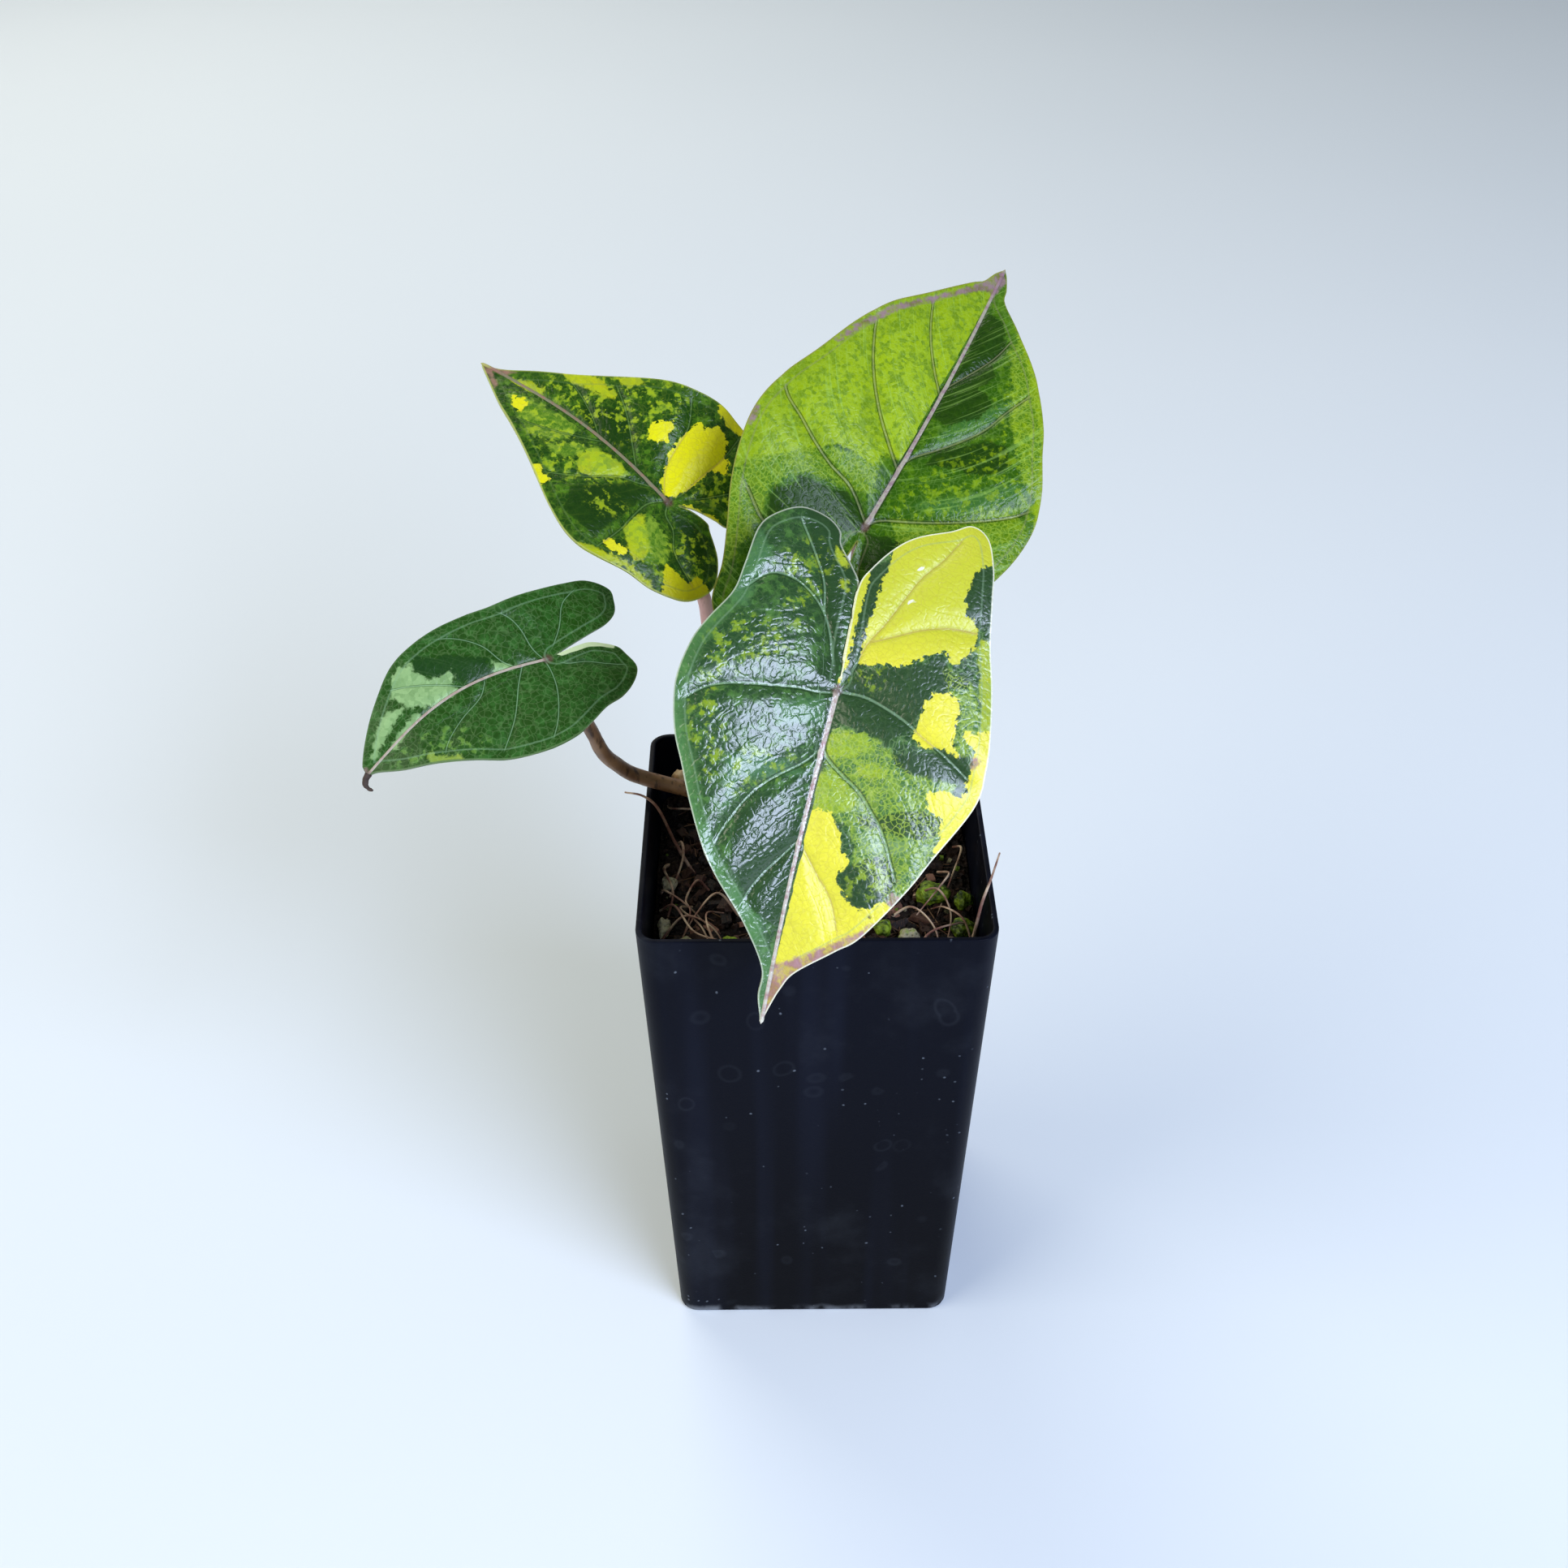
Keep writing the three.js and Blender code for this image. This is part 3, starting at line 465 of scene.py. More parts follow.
def torn_shapes(seed, count, cuts):
    """Ragged lumps about 1 across, each a cube split at random."""
    shapes = []
    for number in range(count):
        bpy.ops.object.select_all(action="DESELECT")
        bpy.ops.mesh.primitive_cube_add(size=1)
        shapes.append(new_piece("torn_shape"))
        bpy.ops.object.mode_set(mode="EDIT")
        bpy.ops.mesh.select_all(action="SELECT")
        bpy.ops.mesh.subdivide(number_cuts=cuts, fractal=TORN, seed=seed + number)
        bpy.ops.object.mode_set(mode="OBJECT")
    return shapes


def join(name, pieces):
    """The pieces as one, under a name."""
    pick(*pieces)
    bpy.ops.object.join()
    joined = bpy.context.object
    joined.name = name
    joined.data.name = name
    return joined


def scatter(name, shapes, count, seed, placing):
    """Copies of the shapes, each with its own mesh and tone, joined in one piece."""
    stream = random.Random(seed)
    copies = []
    for _ in range(count):
        shape = stream.choice(shapes)
        copy = bpy.data.objects.new(name, shape.data.copy())
        bpy.context.scene.collection.objects.link(copy)
        copy.data.transform(placing(stream))
        tone = copy.data.attributes.new("tone", "FLOAT", "POINT")
        tone.data.foreach_set("value", [stream.random()] * len(copy.data.vertices))
        copies.append(copy)
    for shape in shapes:
        bpy.data.objects.remove(shape)
    return join(name, copies)


def loose_at(stream, size, room, lift, tilt):
    """Where one loose bit lies: inside the pot, clear of the stem, on the mix, turned at random."""
    half = mix_half - room
    x, y = STEM_AT.x, STEM_AT.y
    while math.hypot(x - STEM_AT.x, y - STEM_AT.y) < STEM_ROOM:
        x, y = half * (2 * stream.random() - 1), half * (2 * stream.random() - 1)
    level = lumpy_height(x, y) + lift * stream.random()
    lean = tilt * (stream.random() - 0.5)
    turned = Matrix.Rotation(math.tau * stream.random(), 4, "Z") @ Matrix.Rotation(lean, 4, "X")
    sized = Matrix.Diagonal([*(side * MM for side in size), 1.0])
    return Matrix.Translation(Vector((x, y, level)) * MM) @ turned @ sized


def chip_place(stream):
    long_side = 1.6 + 4.2 * stream.random() ** 2
    size = (long_side, 0.9 + 1.5 * stream.random(), 0.5 + 0.9 * stream.random())
    return loose_at(stream, size, room=3.2, lift=0.9, tilt=1.5)


def crumb_place(stream):
    side = 0.35 + 0.8 * stream.random() ** 2
    size = (side, side * (0.6 + 0.5 * stream.random()), side * 0.8)
    return loose_at(stream, size, room=0.9, lift=1.1, tilt=3.0)


def fibre_place(stream):
    size = (2.0 + 4.5 * stream.random(), 0.14, 0.14)
    return loose_at(stream, size, room=4.0, lift=1.4, tilt=1.0)


chips = scatter("bark_chips", torn_shapes(seed=10, count=6, cuts=2), CHIP_COUNT, 5, chip_place)
crumbs = scatter("peat_crumbs", torn_shapes(seed=30, count=6, cuts=1), CRUMB_COUNT, 6, crumb_place)
fibres = scatter("coir_fibres", torn_shapes(seed=50, count=3, cuts=1), FIBRE_COUNT, 7, fibre_place)

bark = Finish("wet_bark", roughness=0.7, specular=0.4)
where = bark.place()
tone = bark.reading("tone")
streak = bark.grain(bark.vector("MULTIPLY", where, (3, 1, 1)), 0.0012, detail=5.0)
cork = bark.mix(tone.between(0.25, 0.95), linear("#110A08"), linear("#4C3024"))
cork = bark.mix(tone.between(0.84, 0.95) * 0.8, cork, linear("#8C6350"))
cork = bark.mix(streak.between(0.5, 0.75) * 0.45, cork, linear("#6B4C3A"))
bark.set("Base Color", cork)
bark.set("Roughness", 0.5 + 0.4 * streak)
bark.set("Normal", bark.bump(streak, 0.0004, 0.8))
finish_piece(chips, bark.material, "potting_mix", smooth_under=30)

crumb_finish = Finish("peat_and_grit", roughness=0.85, specular=0.3)
tone = crumb_finish.reading("tone")
grit = crumb_finish.mix(tone.between(0.2, 0.9), linear("#0C0807"), linear("#33221A"))
grit = crumb_finish.mix(tone.between(0.93, 0.94), grit, linear("#A09878"))
grit = crumb_finish.mix(tone.between(0.965, 0.97), grit, linear("#6C8C28"))
speckle = crumb_finish.grain(crumb_finish.place(), 0.0004)
crumb_finish.set("Base Color", crumb_finish.mix(speckle * 0.5, grit, linear("#1A110C")))
crumb_finish.set("Normal", crumb_finish.bump(speckle, 0.0002, 0.8))
finish_piece(crumbs, crumb_finish.material, "potting_mix", smooth_under=60)

coir = Finish("coir_fibre", roughness=0.8, specular=0.3)
tone = coir.reading("tone")
thread = coir.mix(tone, linear("#2A1810"), linear("#8A6A4C"))
coir.set("Base Color", coir.mix(coir.grain(coir.place(), 0.0015) * 0.5, thread, linear("#3B261A")))
finish_piece(fibres, coir.material, "potting_mix", smooth_under=60)


# Pumice: rounded volcanic grains mixed in for drainage. Light reaches the top ones, so most wear
# a skin of green algae, and the rest are pale grey-buff with open pores.
GRAINS = [
    {"at": (22.2, -4.8, 93.2), "size": (3.2, 2.6, 2.0), "algae": 0.75},
    {"at": (28.0, -7.0, 93.0), "size": (1.8, 2.0, 1.7), "algae": 1.0},
    {"at": (27.2, -15.0, 93.0), "size": (2.4, 2.0, 1.7), "algae": 0.55},
    {"at": (12.6, -15.0, 93.2), "size": (1.7, 1.5, 1.4), "algae": 0.8},
    {"at": (17.2, -17.0, 93.0), "size": (1.9, 1.6, 1.5), "algae": 0.3},
    {"at": (-28.0, -14.5, 93.2), "size": (1.2, 2.4, 1.3), "algae": 0.2},
    {"at": (-23.8, -18.6, 93.0), "size": (1.6, 1.4, 1.3), "algae": 0.25},
    {"at": (-15.8, -18.4, 93.0), "size": (1.5, 1.3, 1.3), "algae": 0.8},
    {"at": (-27.6, -1.5, 93.0), "size": (1.5, 1.6, 1.3), "algae": 0.1},
    {"at": (8.0, 22.0, 93.0), "size": (2.4, 2.0, 1.6), "algae": 0.7},
    {"at": (-13.0, 25.0, 92.8), "size": (1.8, 1.6, 1.4), "algae": 0.15},
]
PORE_DEPTH, GRAIN_LUMPS, GRAIN_BUMPS = 0.10, 0.16, 0.1
GREEN_FROM = 0.5

pumice = Finish("pumice_with_algae", roughness=0.8, specular=0.35)
where = pumice.place()
algae = pumice.reading("algae")
patchy = pumice.grain(where, 0.0016, detail=5.0)
pores = pumice.cells(where, 0.0007)
stone = pumice.mix(patchy, linear("#8F8668"), linear("#D0C9AE"))
# Painted shade darkens the pores.
stone = pumice.mix((1 - pores.between(0.15, 0.4)) * 0.6, stone, linear("#3D3325"))
lush = pumice.mix(patchy.between(0.35, 0.65), linear("#20380C"), linear("#86A325"))
cover = (algae * 1.5 + patchy - 0.85).between(0.0, 0.35)
pumice.set("Base Color", pumice.mix(cover, stone, lush))
pumice.set("Roughness", 0.85 - 0.35 * cover)
pumice.set("Normal", pumice.bump(pores + patchy, 0.0004, 0.8))

for number, grain in enumerate(GRAINS, start=1):
    bpy.ops.object.select_all(action="DESELECT")
    bpy.ops.mesh.primitive_ico_sphere_add(subdivisions=4, radius=1)
    stone_piece = new_piece(f"pumice_{number}")
    middle = Vector(grain["at"])
    for vertex in stone_piece.data.vertices:
        way = vertex.co.normalized()
        bumps = math.sin(5 * way.x + middle.x) + math.cos(4 * way.y + middle.y)
        lumps = GRAIN_LUMPS * noise.noise(way * 2.2 + middle)
        pits = PORE_DEPTH * max(0.0, noise.noise(way * 6.5 + middle) - 0.12)
        reach = 1 + GRAIN_BUMPS * bumps + lumps - pits
        vertex.co = (middle + Vector(way[i] * grain["size"][i] * reach for i in range(3))) * MM
    cover_layer = stone_piece.data.attributes.new("algae", "FLOAT", "POINT")
    cover_layer.data.foreach_set("value", [grain["algae"]] * len(stone_piece.data.vertices))
    slot_name = "green_pumice" if grain["algae"] > GREEN_FROM else "pale_pumice"
    finish_piece(stone_piece, pumice.material, slot_name, f"pumice_grain_{number}", smooth_under=60)


# Fine roots: pale, wiry feeder roots that have grown out of the top of the mix. They arch over
# it, and two hang over the pot's rim.
ROOTS = [
    [(-23, 4, 91), (-26.5, 5.2, 98), (-30, 7.4, 105.2), (-32.5, 8.6, 106.6), (-36, 10.7, 105.9)],
    [(26, -25, 91), (28, -24, 98), (29.6, -21.5, 104.6), (31.4, -17.5, 106.6), (33.6, -11, 107.6)],
    [(-27, 12, 91), (-25.5, 9, 95), (-25, 3, 95.6), (-27.5, -3, 91)],
    [(-28, 7, 91), (-28.5, 1, 94.6), (-26.5, -7, 95.2), (-28, -12, 91)],
    [(-22, -6, 91), (-25, -11, 95), (-21, -16, 94.8), (-18, -22, 91)],
    [(27.5, 12, 91), (28.6, 6, 95.4), (26.5, -1, 95), (23, -9, 91)],
    [(20, -21, 91), (24, -20, 95), (28, -21.5, 94.6), (29, -24, 91)],
    [(14, -9.5, 91), (18, -11, 95), (22, -17, 94.6), (22.5, -23, 91)],
    [(-20, -2, 92), (-22, -4, 96), (-24, -9, 95.5), (-23, -14, 96.5), (-25, -19, 92)],
    [(-29, -3, 92), (-28, -7, 96), (-24, -12, 97), (-20, -13, 92.5)],
    [(24, 3, 92), (25.5, -3, 96.5), (24, -7, 97.5), (19, -11, 93)],
    [(16, -20, 92), (13, -22, 95.5), (8, -24, 95), (4, -26, 92)],
    [(-8, 20, 92), (-2, 24, 96), (6, 26, 95.5), (12, 27, 92)],
    [(-19, 22, 92), (-24, 19, 95.5), (-28, 20, 95), (-29, 25, 92)],
    [(-29, -8, 92), (-26, -12, 96.5), (-22, -19, 96), (-17, -21, 95.5), (-12, -20, 92)],
    [(-14, -10, 92), (-18, -9, 97), (-22, -14, 96), (-26, -21, 92)],
    [(-29, -18, 92), (-24, -15, 96.5), (-19, -17, 95.5), (-15, -23, 92)],
    [(-16, -22, 92), (-19, -20, 96), (-20, -15, 97), (-17, -10, 93)],
    [(18, -25, 92), (20, -21, 96.5), (26, -17, 96), (29, -13, 92)],
    [(13, -24, 92), (17, -22, 96), (23, -23, 95.5), (28, -26, 92)],
    [(19, -4, 92), (23, -9, 97.5), (25, -14, 96), (24, -19, 92)],
    [(29, -20, 92), (27, -17, 97), (24, -13, 96.5), (22, -8, 92)],
]
ROOT_TAPER = 0.55
STRONG_ROOTS, STRONG_RADIUS, FINE_RADIUS = 4, 0.375, 0.27


def curve_through(points, steps):
    """Points on a smooth curve through the given ones: a centripetal spline."""
    places = [Vector(point) for point in points]
    places = [2 * places[0] - places[1], *places, 2 * places[-1] - places[-2]]
    route = []
    for first, here, there, last in zip(places, places[1:], places[2:], places[3:]):
        gap, step_gap, next_gap = (
            max(pair.length, 1e-4) ** 0.5 for pair in (here - first, there - here, last - there)
        )
        leave = (here - first) / gap - (there - first) / (gap + step_gap) + (there - here) / step_gap
        arrive = (
            (there - here) / step_gap - (last - here) / (step_gap + next_gap) + (last - there) / next_gap
        )
        for step in range(steps):
            t = step / steps
            route.append(
                here * (2 * t**3 - 3 * t**2 + 1) + leave * step_gap * (t**3 - 2 * t**2 + t)
                + there * (3 * t**2 - 2 * t**3) + arrive * step_gap * (t**3 - t**2)
            )
    route.append(places[-2])
    return route


def tube(name, route, radius_at, sides):
    """A closed round limb along the route, with a radius at each share of its length."""
    strand = bpy.data.curves.new(name, "CURVE")
    strand.dimensions = "3D"
    strand.bevel_depth = MM
    strand.bevel_resolution = max(1, sides // 2 - 2)
    strand.use_fill_caps = True
    line = strand.splines.new("POLY")
    line.points.add(len(route) - 1)
    for index, (point, at) in enumerate(zip(line.points, route)):
        point.co = (*(at * MM), 1)
        point.radius = radius_at(index / (len(route) - 1))
    limb = bpy.data.objects.new(name, strand)
    bpy.context.scene.collection.objects.link(limb)
    pick(limb)
    bpy.ops.object.convert(target="MESH")
    return bpy.context.object


strands = []
for number, root in enumerate(ROOTS):
    thick = STRONG_RADIUS if number < STRONG_ROOTS else FINE_RADIUS
    route = curve_through(root, 10)
    strands.append(tube("root_strand", route, lambda share: thick * (1 - ROOT_TAPER * share), 6))
roots = join("fine_roots", strands)
root_skin = Finish("root_skin", roughness=0.65, specular=0.4)
where = root_skin.place()
tint = root_skin.grain(where, 0.004, detail=3.0)
pale = root_skin.mix(tint.between(0.35, 0.65), linear("#80564A"), linear("#D2BA9E"))
root_skin.set("Base Color", pale)
root_skin.set("Normal", root_skin.bump(root_skin.grain(where, 0.0004), 0.0001, 0.8))
finish_piece(roots, root_skin.material, "potting_mix", smooth_under=60)


# The leaves: where each stalk meets its blade, how the blade faces and bends, its outline and its
# veins, in millimetres in the blade's own plane, u across to the right and v towards the tip.
# Each margin goes from the tip past the first side vein and the lobe's end, back to the notch.
LEAVES = {
    "front": {
        "hub": (3.2, -20, 149.4), "azimuth": 8, "elevation": 45, "turn": -108.0,
        "length": 55.7, "bow": 0.8,
        "shape": {"fold": 0.2, "arch": 0.0042, "lobe_arch": 0.0065, "roll": 0.01, "roll_from": 9,
                  "wave": 1, "pitch": 0.19, "phase": 0.4, "half": 27},
        "right": {
            "margin": [(1.6, 51.5), (2.1, 47), (6.5, 41), (13, 34.5), (16.5, 30), (20, 23.5), (22.5, 18),
                       (25, 12.5), (26.5, 5.5)],
            "lobe": [(25.5, -1.7), (23.5, -6.5), (20.5, -12), (19.5, -17.5), (18.5, -24.5)],
            "notch": [(16, -28), (12, -30.5), (7.5, -30), (5, -28), (4.5, -25.5), (2.2, -22), (0.8, -18.5),
                      (0.8, -10), (0.5, -5), (0, -2)],
            "basal_vein": [(2.5, -11), (11, -18.5)],
            "veins": [
                [(0, 0.5), (3, 1.1), (6.7, 1.3), (11.6, 2.2), (17.5, 3.4), (21.5, 5), (24.5, 7.5)],
                [(0.8, 10.5), (2.9, 13), (6.1, 15.6), (9.2, 18.5), (11.5, 21.9), (14.4, 28.6), (15, 31)],
                [(0.5, 25), (3, 28.5), (5.5, 32), (7.5, 36), (8, 38.5)],
                [(0, 0), (2.2, -4.6), (3.4, -8.9), (5, -12.4), (7.5, -15.2), (11, -17.1), (15, -17),
                 (19, -13)],
                [(5, -12.4), (6, -18), (8.5, -23), (11.5, -28)],
            ],
        },
        "left": {
            "margin": [(-0.8, 52.5), (-1.8, 49.5), (-3.5, 46.5), (-9, 42), (-12.5, 39), (-18, 30.5),
                       (-21, 24.5), (-26, 14.5), (-26.5, 8)],
            "lobe": [(-26, 1.2), (-25, -6), (-23.5, -13), (-22.5, -21), (-22, -26.5), (-20.5, -32.5)],
            "notch": [(-17.5, -34.5), (-14, -32.5), (-8.5, -30), (-5, -27), (-1.8, -22.5), (-0.1, -18.5),
                      (0, -10), (0, -5), (0, -2)],
            "basal_vein": [(-2.5, -12), (-12, -23.5)],
            "veins": [
                [(0, 0.3), (-4.4, 0.3), (-8.3, 1.5), (-12.2, 3.3), (-15.2, 5.2), (-19.2, 7.4), (-24, 10.5)],
                [(0.5, 10), (-0.9, 11.7), (-3.6, 13.7), (-7, 16), (-9.5, 18.7), (-11.8, 21.3), (-16, 29)],
                [(0.4, 26), (-3, 30), (-6.5, 34), (-8.5, 38.5)],
                [(0, 0), (-2.2, -4.9), (-3.3, -8.5), (-5.7, -12.7), (-8.4, -18.4), (-10.3, -22.3),
                 (-13.5, -26.5), (-16, -31)],
                [(-3.6, -9.0), (-7.8, -11), (-11.7, -12.9), (-16.6, -14.3), (-21, -14.5)],
            ],
        },
        "stalk": [(0, 1.5, 98), (0.3, -3, 112), (1.2, -9, 126), (2.3, -14.6, 138.5)],
        "stalk_radius": (2.3, 1.5),
    },
    "upper": {
        "hub": (8.9, 14, 161.1), "azimuth": 6, "elevation": 44, "turn": 57.7,
        "length": 61.0, "bow": 0.8,
        "shape": {"fold": 0.17, "arch": 0.0036, "lobe_arch": 0.0065, "roll": 0.006, "roll_from": 10,
                  "wave": 1, "pitch": 0.17, "phase": 1.3, "half": 27},
        "right": {
            "margin": [(1, 59.5), (2.2, 56.5), (3.1, 53.5), (8, 48.5), (14.5, 41), (19.5, 32.5),
                       (22, 26.5), (25, 20), (26.5, 14)],
            "lobe": [(26, 7), (24, -0.1), (21.5, -7), (20, -14), (19, -20), (17, -25.5)],
            "notch": [(12.5, -28.5), (8.5, -27.5), (5, -24.5), (2.4, -20), (1.2, -14), (0.7, -9),
                      (0.4, -6), (0, -3)],
            "basal_vein": [(2.5, -11), (10.5, -19.5)],
            "veins": [
                [(0.8, 14.5), (1.8, 16), (4.3, 18.6), (7.1, 21.7), (10.5, 26.4), (12.7, 31.9), (15.5, 38)],
                [(0, 0.5), (1.6, 2.3), (6.9, 4.7), (12.5, 7.5), (17.9, 10.8), (22.4, 14.3), (24.8, 17)],
                [(0.8, 31), (3, 35), (6, 41), (7.5, 46.5)],
                [(0, 0), (2.2, -7), (6, -14), (10.5, -19.5), (14, -24.5)],
                [(3, -9), (9, -9), (16, -6.5), (21.5, -1)],
            ],
        },
        "left": {
            "margin": [(-1.3, 59), (-2.5, 56), (-4.5, 54), (-11, 46), (-15.5, 40.5), (-19, 34),
                       (-22.5, 25), (-25.5, 17.5), (-27, 10)],
            "lobe": [(-26.5, 3.1), (-24.5, -4.5), (-21.5, -11.5), (-19, -18), (-17.5, -24.5)],
            "notch": [(-12.5, -28.5), (-9, -28), (-5.5, -25.5), (-2.9, -20.5), (-1.2, -14), (-0.6, -9),
                      (-0.3, -6), (0, -3)],
            "basal_vein": [(-2.5, -11), (-10.5, -19)],
            "veins": [
                [(0.6, 12), (-3.4, 15.9), (-7.4, 20.2), (-10.7, 24.7), (-13.4, 29.5), (-15.4, 34.3),
                 (-16.5, 37.5)],
                [(0, 0.5), (-5.7, 5.2), (-10.5, 6.8), (-14.9, 9), (-19.4, 11.9), (-22.9, 14),
                 (-25.2, 16.5)],
                [(0.8, 29), (-3, 34), (-6.5, 40), (-9, 46.5)],
                [(0, 0), (-2.2, -7), (-6, -14), (-10, -19.5), (-13.5, -24.5)],
                [(-3, -9), (-9, -9.5), (-16, -8), (-21.5, -4)],
            ],
        },
        "stalk": [(3.5, 6, 98), (5.5, 11, 117), (7.4, 17.5, 142), (8.2, 18.4, 153)],
        "stalk_radius": (2.4, 1.5),
    },
    "back": {
        "hub": (-26.2, 26, 159.9), "azimuth": 25, "elevation": 50, "turn": 120.3,
        "length": 44.1, "bow": 1.3,
        "shape": {"fold": 0.18, "arch": 0.005, "lobe_arch": 0.009, "roll": 0.008, "roll_from": 8,
                  "wave": 0.8, "pitch": 0.24, "phase": 2.2, "half": 19},
        "right": {
            "margin": [(0.4, 42), (1.5, 39.5), (4.5, 35), (9, 28), (13.5, 22), (17.5, 16), (20, 10.5)],
            "lobe": [(21.5, 5.5), (21, 1.2), (20, -3.1), (18, -7.5)],
            "notch": [(16, -11), (12, -12.5), (8, -12.5), (4.5, -11), (3.7, -8.5), (3.1, -6.5), (2.2, -4),
                      (0.8, -1.8)],
            "basal_vein": [(4.5, -3.5), (12, -7)],
            "veins": [
                [(0.3, 7.8), (2.1, 9.9), (4.5, 12.7), (8, 17), (11.5, 22.5)],
                [(0.2, 1.2), (4.7, 4.7), (8.9, 5.9), (13.4, 7), (18.5, 10.5)],
                [(0, 0), (3, -0.7), (7.4, -0.9), (13, -1.5), (19, -1)],
                [(0.5, -0.5), (5, -3.8), (10, -7.2), (14, -10)],
                [(0.8, 17), (3.5, 21), (6, 26.5), (7, 30)],
            ],
        },
        "left": {
            "margin": [(-2, 41), (-5.5, 35.5), (-8, 30.5), (-12.5, 22), (-16.5, 15), (-19, 9.5),
                       (-19.5, 5.5)],
            "lobe": [(-18.5, 1.7), (-16.5, -3.7), (-15.5, -9), (-13, -14)],
            "notch": [(-10, -16), (-6.5, -16.5), (-3.8, -15.5), (-0.9, -13), (1.4, -9), (2.2, -7.5),
                      (1.7, -4), (0.8, -1.8)],
            "basal_vein": [(-3, -3.5), (-8, -9.5)],
            "veins": [
                [(0, 0), (-2.3, -1.2), (-3.5, -4), (-6.7, -7), (-9, -13.5)],
                [(0, 0.5), (-3.1, 2.5), (-7.4, 2.7), (-11.3, 2.5), (-17.5, 3.2)],
                [(0, 4.5), (-1, 6.3), (-2.9, 9.9), (-6.9, 13.5), (-12.5, 20.5)],
                [(0.6, 17), (-2.5, 22.5), (-5, 28), (-6.2, 31.8)],
            ],
        },
        "stalk": [(-1.5, 8.5, 98), (-9.5, 14, 116), (-18.6, 19, 134), (-20.3, 21.5, 143)],
        "stalk_radius": (2, 1.2),
    },
    "low": {
        "hub": (-47.7, 5, 139.8), "azimuth": 30, "elevation": 60, "turn": -169.3,
        "length": 36.7, "bow": 3.2,
        "shape": {"fold": 0.16, "arch": 0.0075, "lobe_arch": 0.01, "roll": 0.01, "roll_from": 7,
                  "wave": 0.7, "pitch": 0.28, "phase": 0.9, "half": 16},
        "right": {
            "margin": [(1.6, 36.5), (5, 34), (9, 30), (13, 24.5), (14.5, 19), (15, 13.5), (14.5, 8.5)],
            "lobe": [(13.5, 3.9), (13, -0.6), (12.5, -5.5), (12, -11), (11, -16)],
            "notch": [(8, -19.5), (5.5, -19), (3.2, -17.5), (1.7, -14.5), (1, -10), (0.5, -6), (0, -1.6)],
            "basal_vein": [(3, -3), (7, -11)],
            "veins": [
                [(0.3, 0.6), (3.1, 1.3), (7.3, 1.2), (10.4, 2), (13.8, 5)],
                [(1.8, 6), (3.6, 7.3), (7.9, 8.8), (12, 12.5), (13.8, 16.5)],
                [(3, 15), (6, 19), (9, 24), (10.5, 27.5)],
                [(0, 0), (1.9, -2.5), (4.6, -5.6), (8.5, -9), (10.5, -14)],
            ],
        },
        "left": {
            "margin": [(-0.6, 35), (-3.2, 31.5), (-6, 26.5), (-9.5, 21.5), (-13, 16.5), (-15.5, 10),
                       (-16, 5)],
            "lobe": [(-15, 1), (-13.5, -3.5), (-13, -7.5), (-11.5, -11), (-9, -13.5)],
            "notch": [(-5.5, -13.5), (-3.5, -13), (-1.5, -10.5), (-0.5, -8.5), (-0.2, -6), (-0.1, -4),
                      (0, -1.6)],
            "basal_vein": [(-3, -2.5), (-5.8, -8.2)],
            "veins": [
                [(0, 0), (-2.3, -2.3), (-3.7, -5.8), (-5.6, -8.6), (-8, -12.5)],
                [(0.2, 0.6), (-2.3, 0.9), (-6.2, 2.3), (-11.5, 5.9), (-15, 9.5)],
                [(0.9, 5), (-1.6, 7.3), (-7.1, 11.8), (-11.8, 17.5)],
                [(2, 12), (0.1, 14), (-1.6, 18.9), (-3.9, 23.1), (-6.5, 25.5)],
            ],
        },
        "stalk": [(-4, 3.5, 97.5), (-13, 8, 101.5), (-22, 11.5, 105), (-28.8, 13, 106.4),
                  (-31.4, 13, 107.2), (-34.4, 12, 109.3), (-36.7, 10, 112.6), (-39.1, 8, 116.8),
                  (-41.4, 5.8, 124.6), (-44.4, 5, 131.5)],
        "stalk_radius": (1.75, 1.25),
    },
}


# The stem: a short corm, sunk in the mix, that carries the leaf stalks. Each stalk's foot widens
# into a dry, brown sheath that wraps the corm.
CORM_RADIUS, CORM_FOOT, CORM_TOP = 5.6, 78.0, 93.4
STALK_ROOT, SHEATH_LENGTH, SHEATH_LIP = 86.0, 13.0, 0.4
STALK_NECK, NECK_LEAN, STALK_END = 3.0, 0.06, 0.62
CORM_RING_DEPTH, CORM_RING_PITCH = 0.035, 3.6
LIP_FROM, LIP_DRAWN_IN, SHEATH_RIPPLE = 0.82, 0.12, 0.03
ROUTE_POINTS, SHEATH_RINGS, STALK_SIDES = 400, 40, 24


def blade_axes(leaf):
    """Directions of a blade: across to the right, along to the tip, and out of its upper face."""
    azimuth, elevation, turn = (math.radians(leaf[key]) for key in ("azimuth", "elevation", "turn"))
    level = math.cos(elevation)
    out = Vector((level * math.sin(azimuth), -level * math.cos(azimuth), math.sin(elevation)))
    side = Vector((math.cos(azimuth), math.sin(azimuth), 0))
    rise = out.cross(side)
    along = side * math.cos(turn) + rise * math.sin(turn)
    across = side * math.sin(turn) - rise * math.cos(turn)
    return across, along, out


def evenly(route, count, start=0.0):
    """The route from a distance along it to its end, as evenly spaced points."""
    lengths = np.concatenate([[0], np.cumsum([(b - a).length for a, b in zip(route, route[1:])])])
    wanted = np.linspace(start, lengths[-1], count)
    columns = [np.interp(wanted, lengths, [point[axis] for point in route]) for axis in range(3)]
    return [Vector(point) for point in zip(*columns)]


